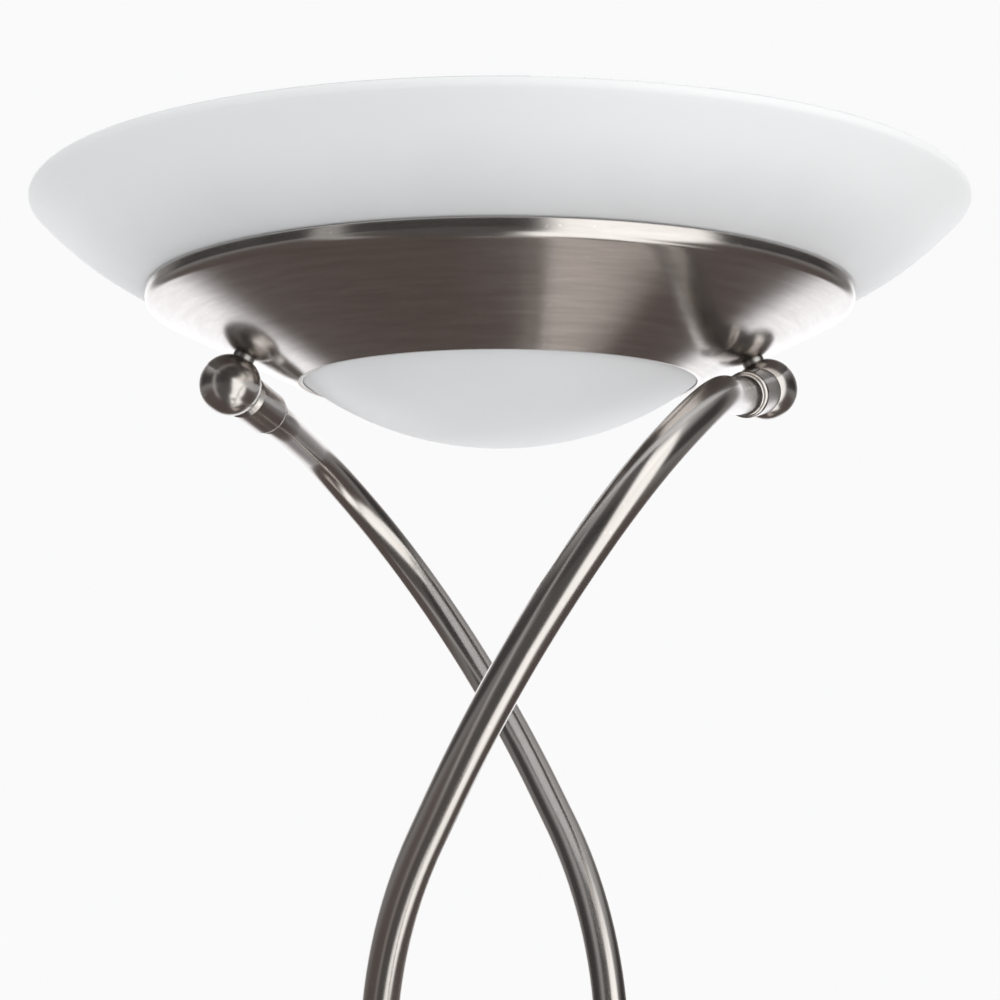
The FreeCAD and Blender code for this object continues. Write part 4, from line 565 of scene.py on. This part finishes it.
# ---------------------------------------------------------------- reading arm
# A swan neck bent cold from 10 mm tube, pressed into the hub at its foot. It rises
# above the bridge, reaches forward and comes down to the fork of the reading light.
def bent_route(corners, first_straight, last_straight):
    """Points along straight runs joined by tangent arcs, each as large as they allow."""
    step = math.radians(1.5)
    shortest = 0.00005
    points = [corners[0]]
    for index in range(1, len(corners) - 1):
        corner = corners[index]
        back = corners[index - 1] - corner
        on = corners[index + 1] - corner
        room_back = back.length / 2 if index > 1 else back.length - first_straight
        last = index == len(corners) - 2
        room_on = on.length - last_straight if last else on.length / 2
        tangent = min(room_back, room_on)
        bend = math.pi - back.angle(on)
        radius = tangent / math.tan(bend / 2)
        start = corner + back.normalized() * tangent
        centre = corner + (back.normalized() + on.normalized()).normalized() * (
            radius / math.cos(bend / 2))
        axis = back.cross(start - centre).normalized()
        count = max(2, math.ceil(bend / step))
        for turn_step in range(count + 1):
            spin = Matrix.Rotation(bend * turn_step / count, 3, axis)
            points.append(centre + spin @ (start - centre))
    points.append(corners[-1])
    kept = [points[0]]
    for point in points[1:]:
        if (point - kept[-1]).length > shortest:
            kept.append(point)
    return kept


bridge_top = 1.180
nose_reach = 0.032
swivel_height = 0.016
swivel_lift = 0.001
arm_grip = 0.012
arm_radius = 0.005
arm_rise = 0.176
arm_forward = 0.108
arm_reach = 0.172
arm_drop = 0.046
arm_upright = 0.55 * arm_rise
fork_neck = 0.007
fit_gap = 0.00005
pivot = Vector((0, -nose_reach - arm_reach, bridge_top + arm_rise - arm_drop))
hub_top = bridge_top + swivel_lift + swivel_height
arm_start = Vector((0, -nose_reach, hub_top - arm_grip + fit_gap))
arm_top = Vector((0, -nose_reach, bridge_top + arm_rise))
arm_corner = Vector((0, -nose_reach - arm_forward, bridge_top + arm_rise))
arm_end = pivot + (arm_corner - pivot).normalized() * (fork_neck + arm_grip / 2)
arm_route = bent_route([arm_start, arm_top, arm_corner, arm_end], arm_upright, arm_grip)
swept("reading_arm_tube", arm_route, arm_radius, "reading_arm", "reading_arm")


# ---------------------------------------------------------------- fork and pivot
# A turned ferrule on the arm's end with two ears, a shoulder screw with a rounded head
# on one side and a domed nut on the other. The head tilts on it with friction.
dress(["arm_fork", "pivot_screw", "pivot_nut"], turned_nickel)


# ---------------------------------------------------------------- reading head
# A tongue with a turned neck, a domed cap, and a cone spun from thin sheet with an
# upright band round its mouth, all brushed about the head's own axis.
head_lean = math.radians(22.0)
head_axis = (0.0, math.sin(head_lean), math.cos(head_lean))
head_nickel = nickel("head_nickel", about_axis(tuple(pivot), head_axis, stretch=0.012),
                     roughness=0.25, depth=0.00001, spread=0.5)
dress(["head_neck", "shade_cap", "reading_shade"], head_nickel)


# ---------------------------------------------------------------- small opal lens
# Pressed opal glass, acid-etched to a soft sheen, held in the shade's mouth. The lens
# under the funnel is blown from the same glass.
def opal(name, low, high, colour_low, colour_high, lip=None):
    """Etched opal glass with painted shade: its colour turns from one tone to another between two
    heights.
    """
    cloud_share = 0.25
    lip_width = 0.0012
    lip_grey = (0.50, 0.52, 0.53)
    material, tree, surface = new_material(name)
    place = object_place(tree)
    rise = add(tree, "ShaderNodeSeparateXYZ", {"Vector": place}).outputs["Z"]
    cloud = math_of(tree, "SUBTRACT", noise(tree, place, 22.0, 2.0, 0.5), 0.5)
    drift = math_of(tree, "MULTIPLY_ADD", cloud, (high - low) * cloud_share, rise)
    # This change of colour with height is painted shade, not a change in the glass.
    tone = mix_colours(tree, step_between(tree, drift, low, high), colour_low, colour_high)
    if lip:
        ground = step_between(tree, rise, lip - lip_width, lip)
        tone = mix_colours(tree, ground, tone, lip_grey)
    etch = noise(tree, place, 1400.0, 2.0, 0.6)
    fit(tree, surface, {
        "Base Color": tone, "Roughness": range_of(tree, etch, 0.36, 0.46),
        "Normal": bump(tree, etch, 0.00002, strength=0.5), "IOR": 1.5,
        "Subsurface Weight": 0.5, "Subsurface Radius": (1.0, 1.0, 1.0),
        "Subsurface Scale": 0.003})
    return material


lens_low, lens_high = (corner[2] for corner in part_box("shade_lens"))
# Its colour goes a little darker upwards, towards the rim: painted shade, as on the lower lens.
small_opal = opal("opal_small", lens_low, lens_high, (0.83, 0.835, 0.84), (0.80, 0.805, 0.81))
dress(["shade_lens"], small_opal)


# ---------------------------------------------------------------- sockets
# Pressed ceramic with a thin off-white glaze: a round one in the reading light and a
# square one at each end of the main lamp.
ceramic = speckled("glazed_ceramic", (340.0, 4.0, 0.6), (0.76, 0.745, 0.70),
                   (0.86, 0.85, 0.81), roughness=(0.30, 0.42), relief=0.0001,
                   extras={"Coat Weight": 0.5, "Coat Roughness": 0.12})
dress(["head_socket", "lamp_sockets"], ceramic)


# ---------------------------------------------------------------- bulbs
# A two-pin capsule in the reading light and a double-ended linear lamp in the bowl, both
# of drawn quartz, a little cloudy.
quartz = speckled("drawn_quartz", (210.0, 2.0, 0.5), (0.88, 0.90, 0.91), (0.96, 0.97, 0.98),
                  roughness=(0.05, 0.22), extras={"Transmission Weight": 0.8, "IOR": 1.46})
dress(["head_bulb", "linear_lamp"], quartz)


# ---------------------------------------------------------------- stems
# Two equal lengths of the poles' tube, bent in space: each leaves its pole, crosses the
# other in front of or behind the axis, and swings out to the ball on the far side.
def turned_point(reach, degrees, level):
    """A place by its distance from the axis, its heading clockwise from +X, its height."""
    around = math.radians(degrees)
    return Vector((reach * math.cos(around), -reach * math.sin(around), level))


rim_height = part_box("glass_bowl")[1][2]
pole_offset = 0.055
ball_radius = 0.014
collar_heading = math.radians(114.9)
collar_dip = math.radians(12.4)
collar_axis = Vector((math.cos(collar_heading) * math.cos(collar_dip),
                      -math.sin(collar_heading) * math.cos(collar_dip), -math.sin(collar_dip)))
balls_low, balls_high = (Vector(corner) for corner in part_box("stem_balls"))
ball_centre = Vector((balls_high.x - ball_radius, 0, (balls_low.z + balls_high.z) / 2))
tube_start = 0.02405
first_run = 0.0487
collar_grip = 0.016
foot_bend_drop = 0.4586
stem_corners = [ball_centre + collar_axis * tube_start, ball_centre + collar_axis * first_run]
for reach, degrees, drop in ((0.1442, 56.3, 0.1022), (0.1602, 74.0, 0.1408),
                             (0.1482, 85.5, 0.1877), (0.1238, 97.7, 0.2380),
                             (0.0845, 128.1, 0.3184)):
    stem_corners.append(turned_point(reach, degrees, rim_height - drop))
stem_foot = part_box("front_stem")[0][2]
stem_corners.append(Vector((-pole_offset, 0, rim_height - foot_bend_drop)))
stem_corners.append(Vector((-pole_offset, 0, stem_foot)))
upright = (stem_corners[-1] - stem_corners[-2]).length
slant = (stem_corners[-2] - stem_corners[-3]).length
stem_route = bent_route(stem_corners, collar_grip, max(upright - slant / 2, upright / 2))
swept("front_stem_tube", stem_route, tube_radius, "stand", "front_stem")
rear_route = [Vector((-point.x, -point.y, point.z)) for point in stem_route]
swept("rear_stem_tube", rear_route, tube_radius, "stand", "rear_stem")


# ---------------------------------------------------------------- balls and collars
# A solid ball on each stem's end, screwed to a hollow nipple through the funnel, and a
# turned collar that takes the tube. Both are polished finer than the tubes.
ball_nickel = nickel("ball_nickel", upright_lines, roughness=0.21, depth=0.000006, marks=0.8)
dress(["stem_collars", "stem_balls"], ball_nickel)
dress(["collar_studs", "ball_nipples", "nipple_washers", "nipple_nuts"], zinc)


# ---------------------------------------------------------------- funnel
# The cone under the bowl, spun from sheet with a rounded turn-up, an upright band and a
# thin lip turned in at the mouth. Brushed as it turned, it mirrors the ball beside it.
sharp_angle = math.radians(24)


def spun(name, outline, sides, body, node, material):
    """A closed outline of (radius, height) turned once round the lamp's axis."""
    points = []
    for side in range(sides):
        around = math.tau * side / sides
        for radius, level in outline:
            points.append((radius * math.cos(around), radius * math.sin(around), level))
    count = len(outline)
    faces = []
    for side in range(sides):
        here, there = side * count, (side + 1) % sides * count
        for index in range(count):
            after = (index + 1) % count
            faces.append((here + index, there + index, there + after, here + after))
    shape = bpy.data.meshes.new(name)
    shape.from_pydata(points, [], faces)
    maker = bmesh.new()
    maker.from_mesh(shape)
    bmesh.ops.recalc_face_normals(maker, faces=maker.faces)
    maker.to_mesh(shape)
    maker.free()
    for face in shape.polygons:
        face.use_smooth = True
    shape.set_sharp_from_angle(angle=sharp_angle)
    shape.materials.append(material)
    piece = bpy.data.objects.new(name, shape)
    scene.collection.objects.link(piece)
    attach(piece, body)
    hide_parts(node)


def arc_points(centre, radius, start, end, count):
    """Points on an arc in the outline's plane, ends included, from angle to angle."""
    points = []
    for index in range(count + 1):
        angle = math.radians(start + (end - start) * index / count)
        points.append((centre[0] + radius * math.cos(angle),
                       centre[1] + radius * math.sin(angle)))
    return points


def run_points(first, last, count):
    """Points inside a straight run, its ends left out."""
    return [(first[0] + (last[0] - first[0]) * index / count,
             first[1] + (last[1] - first[1]) * index / count) for index in range(1, count)]


funnel_low, funnel_high = (Vector(corner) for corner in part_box("metal_funnel"))
funnel_slope = math.radians(25.6)
funnel_radius = 0.159
funnel_sheet = 0.0012
funnel_band = 0.0035
funnel_edge = 0.005
funnel_mouth = 0.0908
funnel_lip = 0.0016
funnel_sides = 384
turn_steps = 18
lip_steps = 8
wall_steps = 24
inner_wall_steps = 8
band_steps = 3
low_angle = math.degrees(funnel_slope) - 90
edge_centre = (funnel_radius - funnel_edge, funnel_high.z - funnel_band)
outer_arc = arc_points(edge_centre, funnel_edge, low_angle, 0, turn_steps)
inner_arc = arc_points(edge_centre, funnel_edge - funnel_sheet, 0, low_angle, turn_steps)
rim_middle = (funnel_radius - funnel_sheet / 2, funnel_high.z - funnel_sheet / 2)
rim_arc = arc_points(rim_middle, funnel_sheet / 2, 0, 180, lip_steps)
mouth_corner = (funnel_mouth, funnel_low.z)
mouth_inside = (funnel_mouth - funnel_sheet * math.sin(funnel_slope),
                funnel_low.z + funnel_sheet * math.cos(funnel_slope))
lip_middle = (funnel_mouth - funnel_lip, funnel_low.z + funnel_sheet / 2)
lip_arc = arc_points(lip_middle, funnel_sheet / 2, 90, 270, lip_steps)
turn_in = (mouth_inside[0] + (funnel_low.z + funnel_sheet - mouth_inside[1])
           / math.tan(funnel_slope), funnel_low.z + funnel_sheet)
funnel_outline = [mouth_corner,
                  *run_points(mouth_corner, outer_arc[0], wall_steps), *outer_arc,
                  *run_points(outer_arc[-1], rim_arc[0], band_steps), *rim_arc,
                  *run_points(rim_arc[-1], inner_arc[0], band_steps), *inner_arc,
                  *run_points(inner_arc[-1], turn_in, inner_wall_steps), turn_in, *lip_arc]
spun("metal_funnel_spun", funnel_outline, funnel_sides, "stand", "metal_funnel",
     spun_nickel)


# ---------------------------------------------------------------- lower lens
# A shallow blown dish that lies in the funnel's mouth on its lip and sends a little
# light down. Etched opal glass, lighter at its middle and darker up towards its rim under the
# funnel's lip: painted shade.
lens_low, lens_high = (corner[2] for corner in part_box("lower_lens"))
# Lighter at the bottom, darker towards the rim: painted shade.
lens_opal = opal("opal_lens", lens_low, lens_high, (0.90, 0.905, 0.91), (0.77, 0.775, 0.78))
dress(["lower_lens"], lens_opal)


# ---------------------------------------------------------------- glass bowl
# A wide dish of opal glass, blown in a mould, its lip ground and fire-rounded. It lies
# loose in the funnel. It is painted darker and greyer towards the seat: painted shade.
bowl_low, bowl_high = (corner[2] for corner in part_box("glass_bowl"))
# Between these two heights the bowl's colour lightens upwards: painted shade, darkest at the
# seat.
painted_shade_low = bowl_low + 0.004
painted_shade_high = bowl_low + 0.045
bowl_opal = opal("opal_bowl", painted_shade_low, painted_shade_high, (0.68, 0.685, 0.69),
                 (0.885, 0.89, 0.893), lip=bowl_high)
dress(["glass_bowl"], bowl_opal)


# ---------------------------------------------------------------- lamp carrier
# A flat strap across the funnel and a folded channel on it that holds the two sockets,
# pressed from zinc-plated steel and joined with pan-head screws and nuts.
dress(["head_strap", "lamp_bracket", "bracket_screws", "bracket_nuts"], zinc)
